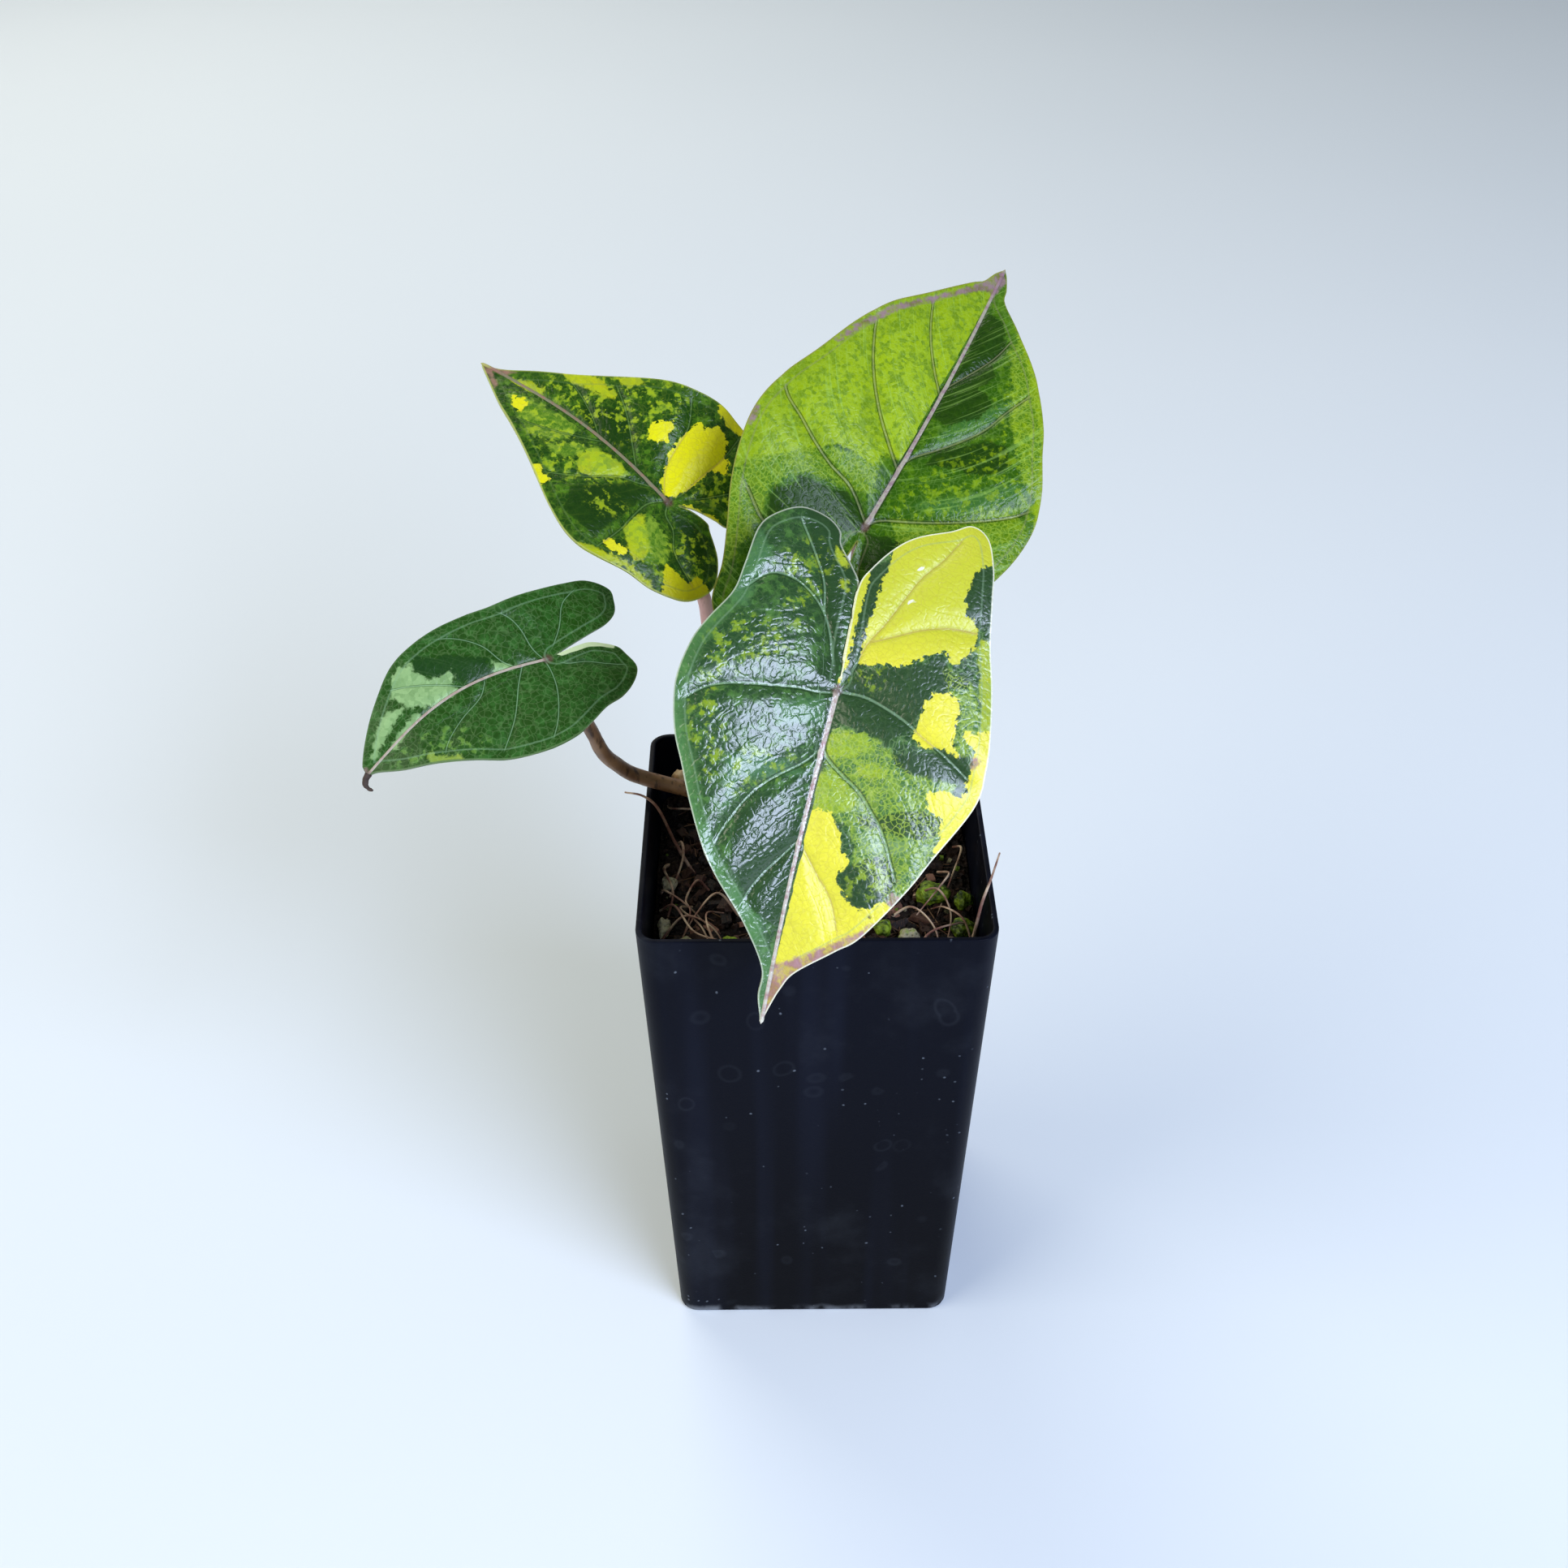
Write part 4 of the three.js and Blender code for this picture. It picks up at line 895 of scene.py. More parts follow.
def stalk_route(leaf):
    """The middle line of a stalk, from inside the corm to the underside of its blade."""
    out = blade_axes(leaf)[2]
    hub = Vector(leaf["hub"])
    under = (hub - STALK_NECK * out).lerp(Vector(leaf["stalk"][-1]), NECK_LEAN)
    x, y = leaf["stalk"][0][:2]
    root = Vector((STEM_AT.x + 0.4 * x, STEM_AT.y + 0.2 * (y - STEM_AT.y), STALK_ROOT))
    return curve_through([root, *leaf["stalk"], under, hub - STALK_END * out], 16)


def roughen(piece, depth, size, seed):
    """Moves each point in or out along its normal by soft noise."""
    for vertex, normal in [(vertex, vertex.normal.copy()) for vertex in piece.data.vertices]:
        lump = noise.fractal(vertex.co / MM / size + Vector((seed, 0, 0)), 0.8, 2.0, 3)
        vertex.co += normal * depth * MM * lump


bpy.ops.object.select_all(action="DESELECT")
corm_middle = (CORM_FOOT + CORM_TOP) / 2
bpy.ops.mesh.primitive_uv_sphere_add(segments=40, ring_count=28, radius=1, location=(0, 0, 0))
bpy.context.object.scale = (CORM_RADIUS * MM, CORM_RADIUS * MM, (CORM_TOP - CORM_FOOT) / 2 * MM)
bpy.context.object.location = (STEM_AT.x * MM, STEM_AT.y * MM, corm_middle * MM)
corm = new_piece("corm")
for vertex in corm.data.vertices:
    ring = CORM_RING_DEPTH * math.sin(vertex.co.z / MM * CORM_RING_PITCH)
    vertex.co.x += (vertex.co.x - STEM_AT.x * MM) * ring
    vertex.co.y += (vertex.co.y - STEM_AT.y * MM) * ring
roughen(corm, depth=0.5, size=2.0, seed=1)
sheaths = [corm]
for number, leaf in enumerate(LEAVES.values()):
    route = evenly(stalk_route(leaf), ROUTE_POINTS)
    length = sum((b - a).length for a, b in zip(route, route[1:]))
    covered = route[:max(3, round(ROUTE_POINTS * SHEATH_LENGTH / length))]
    foot_radius = leaf["stalk_radius"][0] + SHEATH_LIP

    def sheath_radius(share):
        lip = LIP_DRAWN_IN * max(0, share - LIP_FROM) / (1 - LIP_FROM)
        return foot_radius * (1 - lip + SHEATH_RIPPLE * math.sin(share * 21))

    sheath = tube("sheath", evenly(covered, SHEATH_RINGS), sheath_radius, STALK_SIDES)
    roughen(sheath, depth=0.28, size=1.6, seed=10 + number)
    sheaths.append(sheath)
stem = join("stem_and_sheaths", sheaths)

husk = Finish("dry_sheath", roughness=0.6, specular=0.4)
where = husk.place()
fibre = husk.grain(husk.vector("MULTIPLY", where, (1, 1, 0.16)), 0.0008, detail=5.0)
blotch = husk.grain(where, 0.004, detail=4.0)
paper = husk.mix(blotch.between(0.35, 0.65), linear("#6B4A36"), linear("#A98A68"))
paper = husk.mix(fibre.between(0.5, 0.75) * 0.55, paper, linear("#3D291E"))
husk.set("Base Color", paper)
husk.set("Roughness", 0.45 + 0.35 * fibre)
husk.set("Normal", husk.bump(fibre, 0.0003, 0.7))
finish_piece(stem, husk.material, "stem", "stem", smooth_under=60)


# The old leaf stub: the dry, hollow foot of a leaf that has been shed. It lies from the stem to
# the pot's left wall, tan and wrinkled along its length, with its torn end open.
STUB_PATH = [(-7.2, 9.8, 95.6), (-15, 14.5, 97.2), (-23, 19, 100.4), (-27, 21.3, 102.8)]
STUB_RADIUS, STUB_THINNING = 2.0, 0.3
STUB_WALL, STUB_HOLLOW, STUB_MOUTH = 0.25, 3.2, 1.2
STUB_RINGS, ROUND_FROM = 60, 0.93


def stub_radius(share):
    """The stub thins towards its end, which is rounded off."""
    rounded = math.sqrt(max(0.3, 1 - (max(0, share - ROUND_FROM) / (1 - ROUND_FROM)) ** 2))
    return (STUB_RADIUS - STUB_THINNING * share) * rounded


stub = tube("old_stub", evenly(curve_through(STUB_PATH, 20), STUB_RINGS), stub_radius, STALK_SIDES)
bpy.ops.object.mode_set(mode="EDIT")
stub_end = Vector(STUB_PATH[-1])
end_way = (stub_end - Vector(STUB_PATH[-2])).normalized()
choose(stub, "FACE", lambda centre, normal: (centre - stub_end).length < STUB_MOUTH
       and normal.dot(end_way) > 0.8)
bpy.ops.mesh.inset(thickness=STUB_WALL * MM)
bpy.ops.mesh.extrude_region_move(TRANSFORM_OT_translate={"value": tuple(-STUB_HOLLOW * MM * end_way)})
bpy.ops.object.mode_set(mode="OBJECT")
roughen(stub, depth=0.3, size=1.5, seed=4)

tan = Finish("dry_stub", roughness=0.75, specular=0.3)
where = tan.place()
crease = tan.grain(tan.vector("MULTIPLY", where, (0.35, 0.6, 1)), 0.0009, detail=5.0)
blotch = tan.grain(where, 0.003, detail=4.0)
dry = tan.mix(blotch.between(0.35, 0.65), linear("#9A7650"), linear("#CDB591"))
tan.set("Base Color", tan.mix(crease.between(0.52, 0.75) * 0.6, dry, linear("#5F432C")))
tan.set("Normal", tan.bump(crease, 0.0003, 0.7))
finish_piece(stub, tan.material, "dry_stub", "old_leaf_stub", smooth_under=60)


# The leaf stalks: smooth, round and springy, each one from its sheath to the middle of its
# blade's underside, where it widens. Young ones are flushed pink, old ones bronze with dark
# flecks.
STALK_COLOURS = {
    "front": ("#8C5E4E", "#B98378", "#4E3022"),
    "upper": ("#94604F", "#C28C80", "#563426"),
    "back": ("#B77A72", "#DDB0AC", "#8E4F49"),
    "low": ("#6B4A30", "#8F6A48", "#2E1C10"),
}
STALK_RINGS, SHEATH_OVERLAP = 120, 2
FLARE, FLARE_FROM, THIN_BY = 0.45, 0.965, 0.8
for name, leaf in LEAVES.items():
    base_radius, top_radius = leaf["stalk_radius"]

    def stalk_radius(share):
        widening = FLARE * max(0.0, (share - FLARE_FROM) / (1 - FLARE_FROM)) ** 2
        return (base_radius + (top_radius - base_radius) * min(1.0, share / THIN_BY)) * (1 + widening)

    route = evenly(stalk_route(leaf), STALK_RINGS, start=SHEATH_LENGTH - SHEATH_OVERLAP)
    stalk = tube(f"{name}_stalk", route, stalk_radius, STALK_SIDES)
    roughen(stalk, depth=0.09, size=3.0, seed=20)
    base, blush, fleck = (linear(colour) for colour in STALK_COLOURS[name])
    rind = Finish(f"{name}_stalk_rind", roughness=0.42, specular=0.5, coat=0.1)
    where = rind.place()
    run = rind.vector("MULTIPLY", where, (1, 1, 0.35))
    flush = rind.grain(where, 0.007, detail=3.0)
    line = rind.grain(run, 0.0011, detail=4.0)
    rind_colour = rind.mix(flush.between(0.35, 0.65), base, blush)
    rind_colour = rind.mix(line.between(0.54, 0.66) * 0.7, rind_colour, fleck)
    rind.set("Base Color", rind_colour)
    rind.set("Roughness", 0.36 + 0.2 * line)
    rind.set("Normal", rind.bump(line, 0.00012, 0.6))
    finish_piece(stalk, rind.material, "leaf_stalk", f"{name}_leaf_stalk", smooth_under=60)


# The leaf blades: thick, waxy, arrow-shaped blades, each grown as one piece. The midrib stands up
# from the upper face, the side veins are sunk in it, and the skin between them is quilted. The
# plant is variegated, so each blade has its own patches of yellow, lime and deep green.
BLADE_THICKNESS, WELD = 0.55, 0.02
MARGIN_ROWS, LOBE_ROWS, COLUMNS = 116, 50, 50
FINE_LEAVES, COARSE_SHARE = ("front", "upper"), 0.78
MARGIN_STEPS, RIB_STEPS = 160, 24
COLUMN_SWEEP, RIB_SWEEP, VEIN_SOFTNESS = 1.2, 1.35, 3.0
QUILT, QUILT_REACH, GROOVE, GROOVE_HALF = 0.70, 2.4, 0.34, 0.6
RIB_RISE, RIB_ROUND, EDGE_FADE = 0.30, 0.9, 3.0
CRINKLE, CRINKLE_ALONG, CRINKLE_ACROSS, CRINKLE_FROM = 0.05, 1.5, 3.6, 1.2
RIB_HALF = {"front": 0.55, "upper": 0.50, "back": 0.38, "low": 0.26}
RELIEF = {"front": 1.0, "upper": 1.0, "back": 0.8, "low": 0.55}
NO_PATCH, CROSSING = -9.0, 1.5
SINUS_OVERLAP, SINUS_DROP = 1.3, 0.8
# Patches of each kind: closed outlines in the blade's own plane, in millimetres.
PATCHES = {
    "front": {
        "yellow": [
            [(-4.4, -23.1), (-5.0, -28.5), (-8.1, -33.5), (-14, -37), (-19, -38), (-24, -34),
             (-22.3, -28.5), (-19.3, -25.5), (-17.7, -20.4), (-18.7, -17.1), (-20.6, -16.3),
             (-21.3, -12.5), (-18.9, -8.6), (-17.7, -8), (-16.1, -9.9), (-13.7, -8.8), (-10, -5.9),
             (-6.1, -5.5), (-2.6, -4.7), (-2.5, -10.5), (-3.3, -16.6)],
            [(0.3, -22), (-1.7, -21.8), (-1.2, -15.5), (-0.9, -9.4), (-0.6, -5), (-0.3, -1), (0.2, -0.9)],
            [(-15.5, -2.5), (-17.9, -3.1), (-20.1, -1.8), (-20.2, 1.5), (-20, 4.8), (-21.8, 7.5),
             (-18.4, 6.4), (-15.4, 7), (-13.4, 5.5), (-14.2, 3.6), (-14.2, 0.9)],
            [(-21, 3.4), (-28, 1.2), (-29, 10.1), (-27, 17), (-23.5, 25), (-20.8, 23), (-21.2, 20.3),
             (-21.1, 17.7), (-18.2, 16.7), (-17.6, 14.2), (-20.7, 13.1), (-23.6, 13.8), (-23.9, 11),
             (-24.3, 8.2), (-23.9, 5.6)],
            [(0.6, 20.5), (-3, 19.9), (-5.3, 23.1), (-6.3, 26), (-7.9, 27.4), (-6.7, 29.4), (-6.7, 30.7),
             (-8.2, 32.9), (-10.1, 34.6), (-12.4, 34.4), (-14.5, 32.8), (-17.5, 33.3), (-12, 42),
             (-4.6, 49), (-0.4, 57), (0.3, 50), (0.2, 40), (0.3, 30)],
        ],
        "lime": [
            [(-0.2, 7.7), (-3.1, 6.7), (-6.2, 6.5), (-7.2, 8.7), (-4.7, 10.9), (-2.1, 11.4), (0.3, 11)],
            [(-5, 12.1), (-8.1, 11), (-10.9, 11.8), (-10.7, 13.2), (-6.9, 13.6)],
            [(0.6, 14), (-2.8, 13.6), (-5.8, 15.8), (-6.9, 18), (-6, 19.9), (-1.5, 21), (0.6, 20)],
            [(-21.3, -13.3), (-24.5, -14), (-27.5, 2), (-24.3, 2.6)],
            [(5.2, -25), (4, -24), (3, -22), (3.2, -21), (4.2, -22), (5.2, -23.5)],
            [(4, -19.2), (2.4, -19.2), (2.4, -17.2), (3.5, -17.6)],
        ],
        "deep": [
            [(-0.6, -0.1), (-3.1, -3.7), (-8.2, -5.4), (-12.1, -6.4), (-15.8, -8.7), (-17.6, -6.2),
             (-21.1, -6.7), (-20.8, -4.1), (-15.4, -3.1), (-14.1, 0.8), (-12.8, 4.5), (-9.3, 7.3),
             (-6.1, 6.2), (-0.6, 5.5)],
            [(-11, 9), (-17.4, 7.7), (-22.7, 6.5), (-23.9, 9), (-23.4, 11.2), (-19.6, 11.6), (-14.9, 11.7),
             (-11.4, 11)],
            [(-6.9, 19.7), (-10, 19.8), (-13.1, 18.5), (-17.5, 17.2), (-21.3, 16.7), (-21.1, 20.4),
             (-17.9, 21.7), (-14.5, 21.8), (-10.7, 21.2), (-8.4, 21.4)],
            [(-7.3, 28.6), (-9.7, 27.1), (-12, 25.7), (-14.8, 25.8), (-16.2, 28.8), (-15.8, 31.6),
             (-13.3, 34.1), (-10.1, 34.6), (-8.3, 32.8), (-6.9, 30.7)],
            [(-17.3, -25), (-21.5, -27), (-22.4, -21.6), (-23, -15.8), (-20.3, -15.2), (-18.5, -17.4),
             (-17.7, -20.4)],
            [(-1.6, -23), (-5.2, -24.5), (-4.3, -16.6), (-3.6, -10.5), (-3.2, -4.6), (-0.8, -1.2),
             (-0.9, -5.1), (-0.9, -10.2), (-1.2, -16.3)],
            [(0.4, -1), (2, -12), (1.5, -22), (6, -31), (12, -32), (9, -24), (5, -14), (3, -6), (5, 0),
             (0.6, 1)],
            [(1.5, 22), (8, 20), (12, 24), (11, 32), (6, 38), (1, 40)],
        ],
        "pale": [
            [(-8.5, 22.5), (-14, 22.5), (-17.5, 22.5), (-16, 25), (-12, 25), (-9, 26)],
            [(26.5, 5), (28, 5), (28, -6), (26, -8)],
        ],
        "grey": [
            [(3, 40), (12, 34), (19, 24), (25, 10), (28, 8), (24, 24), (14, 38), (6, 48)],
            [(20, -10), (22.5, -14), (20.5, -19), (18, -24), (15.5, -20.5), (17, -14), (17.5, -10)],
            [(16, 15), (11.5, 13.5), (6, 13.5), (2, 15), (7.5, 17), (13, 18.5), (14, 24)],
            [(10.5, 5), (2, 1.5), (1, 6), (7.5, 8)],
        ],
        "pale_mark": [
            [(-10.9, -23.9), (-10.2, -24.5), (-9.5, -24.2), (-9.2, -23.4), (-9.6, -23.8), (-10.2, -24.1)],
            [(-10.0, -17.6), (-9.5, -18.0), (-8.9, -17.6), (-8.8, -17.0), (-9.2, -17.5), (-9.6, -17.7)],
        ],
        "fleck": [
            [(23, -2), (21.5, -6), (17, -8.5), (12, -8), (9, -4.5), (14, -1), (19, 3), (22.5, 4)],
            [(23.5, 6), (20, 5), (17.5, 10), (16, 15), (17.5, 20), (20.5, 17), (22.5, 12)],
            [(12.5, -23), (8.5, -25.5), (5.5, -22), (6, -16), (11.5, -15.5), (14, -19)],
            [(12, -14), (8, -15), (7, -9), (11, -8)],
            [(15.5, 14), (6, 12), (3, 14), (8, 17), (14, 21)],
            [(-1.5, -2), (-4, -4.5), (-6.5, -5), (-7, -2), (-3, 0)],
            [(-9, 27.5), (-13, 27), (-14.2, 30), (-12.5, 33), (-9, 32.5), (-8, 30)],
        ],
        "mesh": [
            [(-0.5, 6.5), (-8, 7), (-14, 11.5), (-22, 12), (-22, 20), (-20, 26), (-16, 33), (-9, 28),
             (-7, 22), (-0.5, 20)],
            [(-16.5, -7), (-21, -6), (-25, 0), (-24, 7), (-20.5, 7), (-20.2, -1), (-17.5, -3.5)],
            [(-12, 35), (-20, 26), (-24, 18), (-25, 20), (-20, 29), (-14, 36)],
        ],
        "speck": [
            [(-24.4, 10.4), (-24.0, 10.2), (-23.9, 10.7), (-24.3, 10.9)],
            [(-13.5, 35.2), (-12.9, 35.1), (-12.8, 35.7), (-13.4, 35.8)],
        ],
        "brown": [
            [(0.3, 59), (0.2, 46), (-1.5, 45.6), (-8, 41.4), (-13, 38), (-14, 36.8), (-15.5, 36.8),
             (-13, 40), (-8, 44.5), (-4, 48.5), (-2.2, 52), (-1, 59)],
            [(-17, 32), (-16.4, 33), (-15.6, 32.4), (-16, 31.4)],
            [(-25, 7.4), (-24.2, 8.2), (-24.2, 7.2)],
        ],
    },
    "upper": {
        "lime": [
            [(0.4, 61), (0.6, 50), (1, 38.7), (1, 26), (1, 18.8), (0.3, 14.2), (-3.1, 13.7), (-3.9, 10.5),
             (-7.5, 10.9), (-11.4, 10.4), (-14.8, 7.5), (-19.2, 3.5), (-22.6, 0.7), (-25.1, -2.1),
             (-29.2, -1.8), (-32, 9.6), (-27, 29), (-17, 45), (-3, 63)],
            [(24.5, 18), (27, 12), (26, 2), (22, -10), (19.5, -24), (22.5, -24), (27, -8), (30, 10),
             (26, 24), (22, 34), (17, 44), (10, 52), (3, 58), (4, 54), (13, 41), (20, 30)],
            [(-1.8, -6), (-1.2, -16), (-4, -22), (-7, -20), (-5, -12), (-2.8, -6)],
        ],
        "deep": [
            [(-17.4, -3.6), (-17.2, -1.8), (-14.7, -0.4), (-14.3, 2), (-12.1, 2.4), (-9, 2.7), (-6.3, 4),
             (-3.2, 2.8), (-0.6, 1.3), (0.3, 0.1), (-2.9, -2.5), (-8.9, -3.6), (-13.6, -3.9),
             (-15.4, -7.3)],
            [(0.7, 50), (4.4, 49.1), (7.2, 44.4), (6.6, 40), (8, 36.8), (6.1, 33.8), (10.1, 32),
             (8.2, 27.3), (4.1, 24.1), (1.5, 24.5), (1.0, 29), (1.3, 35.1), (1.3, 40.9), (0.8, 45.8)],
            [(4.9, 19.1), (7.8, 21.2), (11.8, 24.6), (15.5, 25.3), (17.7, 22.3), (16.4, 19.9),
             (12.8, 17.4), (9.1, 16.9), (4.3, 15.2)],
            [(0.6, -1), (4, 0), (8, 0), (9, -4), (5, -7), (2, -7)],
        ],
        "pale": [
            [(-5.8, 17.3), (-6.6, 22.2), (-6.8, 27.7), (-7.1, 35.2), (-5.6, 39.3), (-3.9, 39.4),
             (-2.4, 32.6), (-2.1, 25.1), (-1.6, 17.3), (-1.8, 14.4)],
        ],
        "grey": [
            [(3.7, 19.7), (4.4, 23.4), (6.4, 27.8), (9.1, 30.6), (11.8, 33.6), (14, 36.6), (15.5, 35.4),
             (13, 30.8), (10, 26.8), (7, 23), (4.6, 19.5)],
            [(5.6, 7.6), (10, 11), (14, 14.6), (19.4, 19.3), (22.5, 21), (23, 19), (19, 14.5), (15, 10.5),
             (10, 7.5)],
            [(-22, -4), (-20.5, -0.6), (-16.1, 4.6), (-14, 3.6), (-15, 1), (-18, -2), (-17, -7),
             (-19, -11)],
        ],
        "fleck": [
            [(2, 3), (10, 4), (20, 10), (25, 14), (24, 26), (18, 36), (12, 42), (10, 34), (14, 26),
             (6, 16)],
            [(-27, -2), (-31, 8), (-27, 26), (-20, 36), (-21, 22), (-20, 8), (-12, 12), (-3, 14), (-16, 5)],
            [(4, -10), (12, -8), (20, -2), (22, 8), (10, 2)],
        ],
        "mesh": [
            [(-26, -4), (-22, 2), (-16, 8), (-8, 11), (-3, 13), (-2, 6), (-7, 4.5), (-13, 3.5), (-16, 1.5),
             (-18, -3), (-17, -9), (-19, -24), (-24, -16)],
            [(3, 4), (10, 6), (16, 11), (22, 16), (26, 12), (26, 2), (21, -9), (14, -6), (6, 0)],
            [(9, 50), (14, 42), (20, 30), (24, 20), (21, 20), (14, 30), (11, 38), (8, 44)],
        ],
        "brown": [
            [(-0.3, 62), (-1.3, 58.6), (-4.5, 53), (-11, 45), (-15.5, 39.4), (-19, 33), (-21, 28),
             (-19.8, 28), (-16.4, 35), (-12, 41.5), (-6, 49), (-1.5, 54), (0.8, 54), (1.6, 58)],
            [(-26.6, 5.4), (-27.4, 5.7), (-27.6, 9.9), (-26.2, 9.8), (-25.8, 8.3), (-25.6, 5.7)],
        ],
    },
    "back": {
        "yellow": [
            [(0.3, 1.7), (2.4, 4.1), (5.6, 5.3), (8, 6.6), (10.7, 6.7), (12.6, 7), (15.7, 6.3),
             (15.2, 4.6), (17.5, 3.1), (17.1, 0.7), (14.3, -1.2), (13.5, -2.7), (11.5, -4), (10.2, -2.1),
             (10.8, -1.2), (8.8, -1.4), (6.6, -1.3), (3.9, -0.8), (1.4, 0)],
            [(20.9, 6.1), (22.5, 4.5), (23, 1.9), (21, -1), (19.6, -0.8), (19, 1.3), (18.5, 2.2),
             (19.9, 4.9)],
            [(6.6, 11.1), (9.3, 12.3), (10.7, 11.2), (12.1, 9.7), (10.7, 8.9), (8.3, 8.1), (7.1, 9.4)],
            [(-9.9, -7.5), (-9.9, -9.5), (-9.7, -11.1), (-8.9, -12.9), (-7.2, -13.1), (-6.8, -15.3),
             (-7.7, -17.5), (-12.3, -17.5), (-14.6, -13.8), (-15.4, -10.8), (-12.8, -9.6), (-11.5, -8.1)],
            [(-15.4, 3.1), (-13.9, 2.6), (-13.6, 0.3), (-13.6, -1.3), (-14.7, -1.6), (-15.8, 0.4),
             (-16, 2.2)],
            [(-12.4, 22.5), (-11.2, 21.3), (-12.4, 19.3), (-12.1, 17.7), (-13.7, 17.9), (-15.5, 19.8)],
            [(-4.3, 33.3), (-2.6, 34.4), (-1.4, 33.1), (-2.7, 31.1), (-4.9, 31.2)],
            [(3.1, -7.6), (2, -5), (1.4, -2.2), (2.4, -3.4), (3.4, -6), (4.2, -8.5), (4, -10)],
        ],
        "lime": [
            [(7.2, 31.5), (9.5, 28.6), (10.2, 25.7), (9.6, 22.7), (10, 20.8), (8.3, 20.7), (7.4, 23.7),
             (7.3, 26), (6.4, 29)],
            [(12.5, 23), (14.6, 20.7), (14.6, 18.5), (12.6, 19.6), (11.6, 21.6)],
            [(-4.7, 18), (-1.7, 16.8), (-0.5, 14), (-0.6, 10.5), (-1.1, 8.7), (-3.4, 9.6), (-6, 12.4),
             (-7.4, 15.6)],
            [(0.5, 37.9), (1.9, 34.9), (2.5, 31.3), (1.1, 30.8), (0.2, 33.5), (-0.5, 36.7)],
            [(-10.6, 2.3), (-7, 2.5), (-5.8, 1.3), (-7.9, -1), (-10.5, -4), (-13, -4.2), (-14, -2),
             (-12.6, 0.2)],
            [(-16, -3), (-19, 2), (-20, 6), (-17.8, 4), (-15, -3), (-14.6, -8), (-15.8, -9)],
        ],
        "deep": [
            [(-7, 4), (-16, 5), (-16, 12), (-11, 14), (-6, 10), (-2.5, 7.5), (-1, 4)],
            [(1.2, 12), (6, 12), (8, 18), (4, 24), (1.4, 21)],
            [(-1.5, -2), (-3, -6), (-6, -11), (-2.5, -12), (0.5, -9)],
        ],
        "mesh": [
            [(-1.8, 36.5), (-0.7, 30.9), (0.4, 24.3), (-0.1, 21), (-4.8, 21.8), (-7.3, 25.5), (-6.4, 29.9)],
            [(-7.1, 22.8), (-2.2, 19.3), (-3.2, 16.5), (-6.6, 18.5), (-8, 21.1)],
            [(2, 40), (6, 34), (9, 32), (11, 27), (13, 24), (10, 29), (6, 36)],
            [(-9, 1), (-5, 0), (-6, -5), (-10, -8), (-13, -5)],
        ],
        "fleck": [
            [(2, 15), (8, 9), (16, 9), (19, 13), (13, 22), (8, 29), (3, 34), (2, 26)],
            [(3.5, -1.1), (9, -1.9), (13, -3), (14, -8), (9, -11), (5, -9), (4.3, -3.4)],
            [(-2, 8), (-8, 12), (-12, 18), (-6, 30), (-2, 34), (-1, 24)],
            [(-4, -4), (-8, -6), (-14, -8), (-10, -15), (-3, -14), (0, -9)],
            [(-7, 4), (-12, 6), (-12, 10), (-8, 12)],
        ],
        "brown": [
            [(0, 45), (-2.5, 40), (-3.5, 38), (-2.3, 38), (-0.2, 41), (0.4, 38), (1, 38.5), (2.4, 37),
             (1, 42)],
        ],
    },
    "low": {
        "lime": [[(-3, 26.6), (-5.2, 25.6), (-7.6, 22.9), (-9.2, 23), (-6.8, 26.4), (-4.1, 27.6)]],
        "deep": [
            [(12.8, 20), (11, 18.4), (8.9, 13.9), (5.4, 9.4), (2.5, 10.4), (3, 13.5), (5.1, 16.2),
             (6.3, 18), (8.9, 20.5), (10.4, 21.5)],
        ],
        "pale": [
            [(12, 20.7), (10.2, 21.5), (8, 19.9), (7.1, 18.3), (7, 15.9), (5.7, 15.5), (5, 16.6),
             (5.4, 17.7), (3.2, 16.2), (3, 18.7), (3, 21), (5.5, 25.4), (8.7, 26.7), (11.3, 25.1),
             (12.2, 23.3)],
            [(4.3, 8.8), (2.8, 6.3), (1.2, 5.3), (1.7, 7.6), (2.6, 9.8)],
            [(1.6, 34.2), (4.2, 29.7), (5.9, 25.7), (6.7, 26.7), (6.8, 29.7), (4.5, 32.2), (2.4, 34.4)],
            [(1.6, 31), (3.7, 26.8), (3.6, 24.5), (2.8, 24.2), (2.2, 27.9), (0.6, 30)],
        ],
        "fleck": [[(-2, 20), (-8, 18), (-10, 22), (-5, 28), (-1, 32), (0.6, 28)]],
        "pale_mark": [
            [(-0.1, -2), (-0.1, -6), (-0.3, -8.5), (-1.2, -10.5), (-3, -12.8), (-3.6, -12.2),
             (-2.2, -10.2), (-1.3, -8), (-1.1, -5.5), (-0.6, -2.5)],
        ],
        "brown": [[(0.4, 39.5), (-1, 36.4), (-0.3, 35.8), (1, 35.8), (1.8, 37), (1, 39)]],
    },
}
PATCH_KINDS = ("yellow", "lime", "deep", "pale", "grey", "mesh", "fleck", "brown", "pale_mark", "speck")
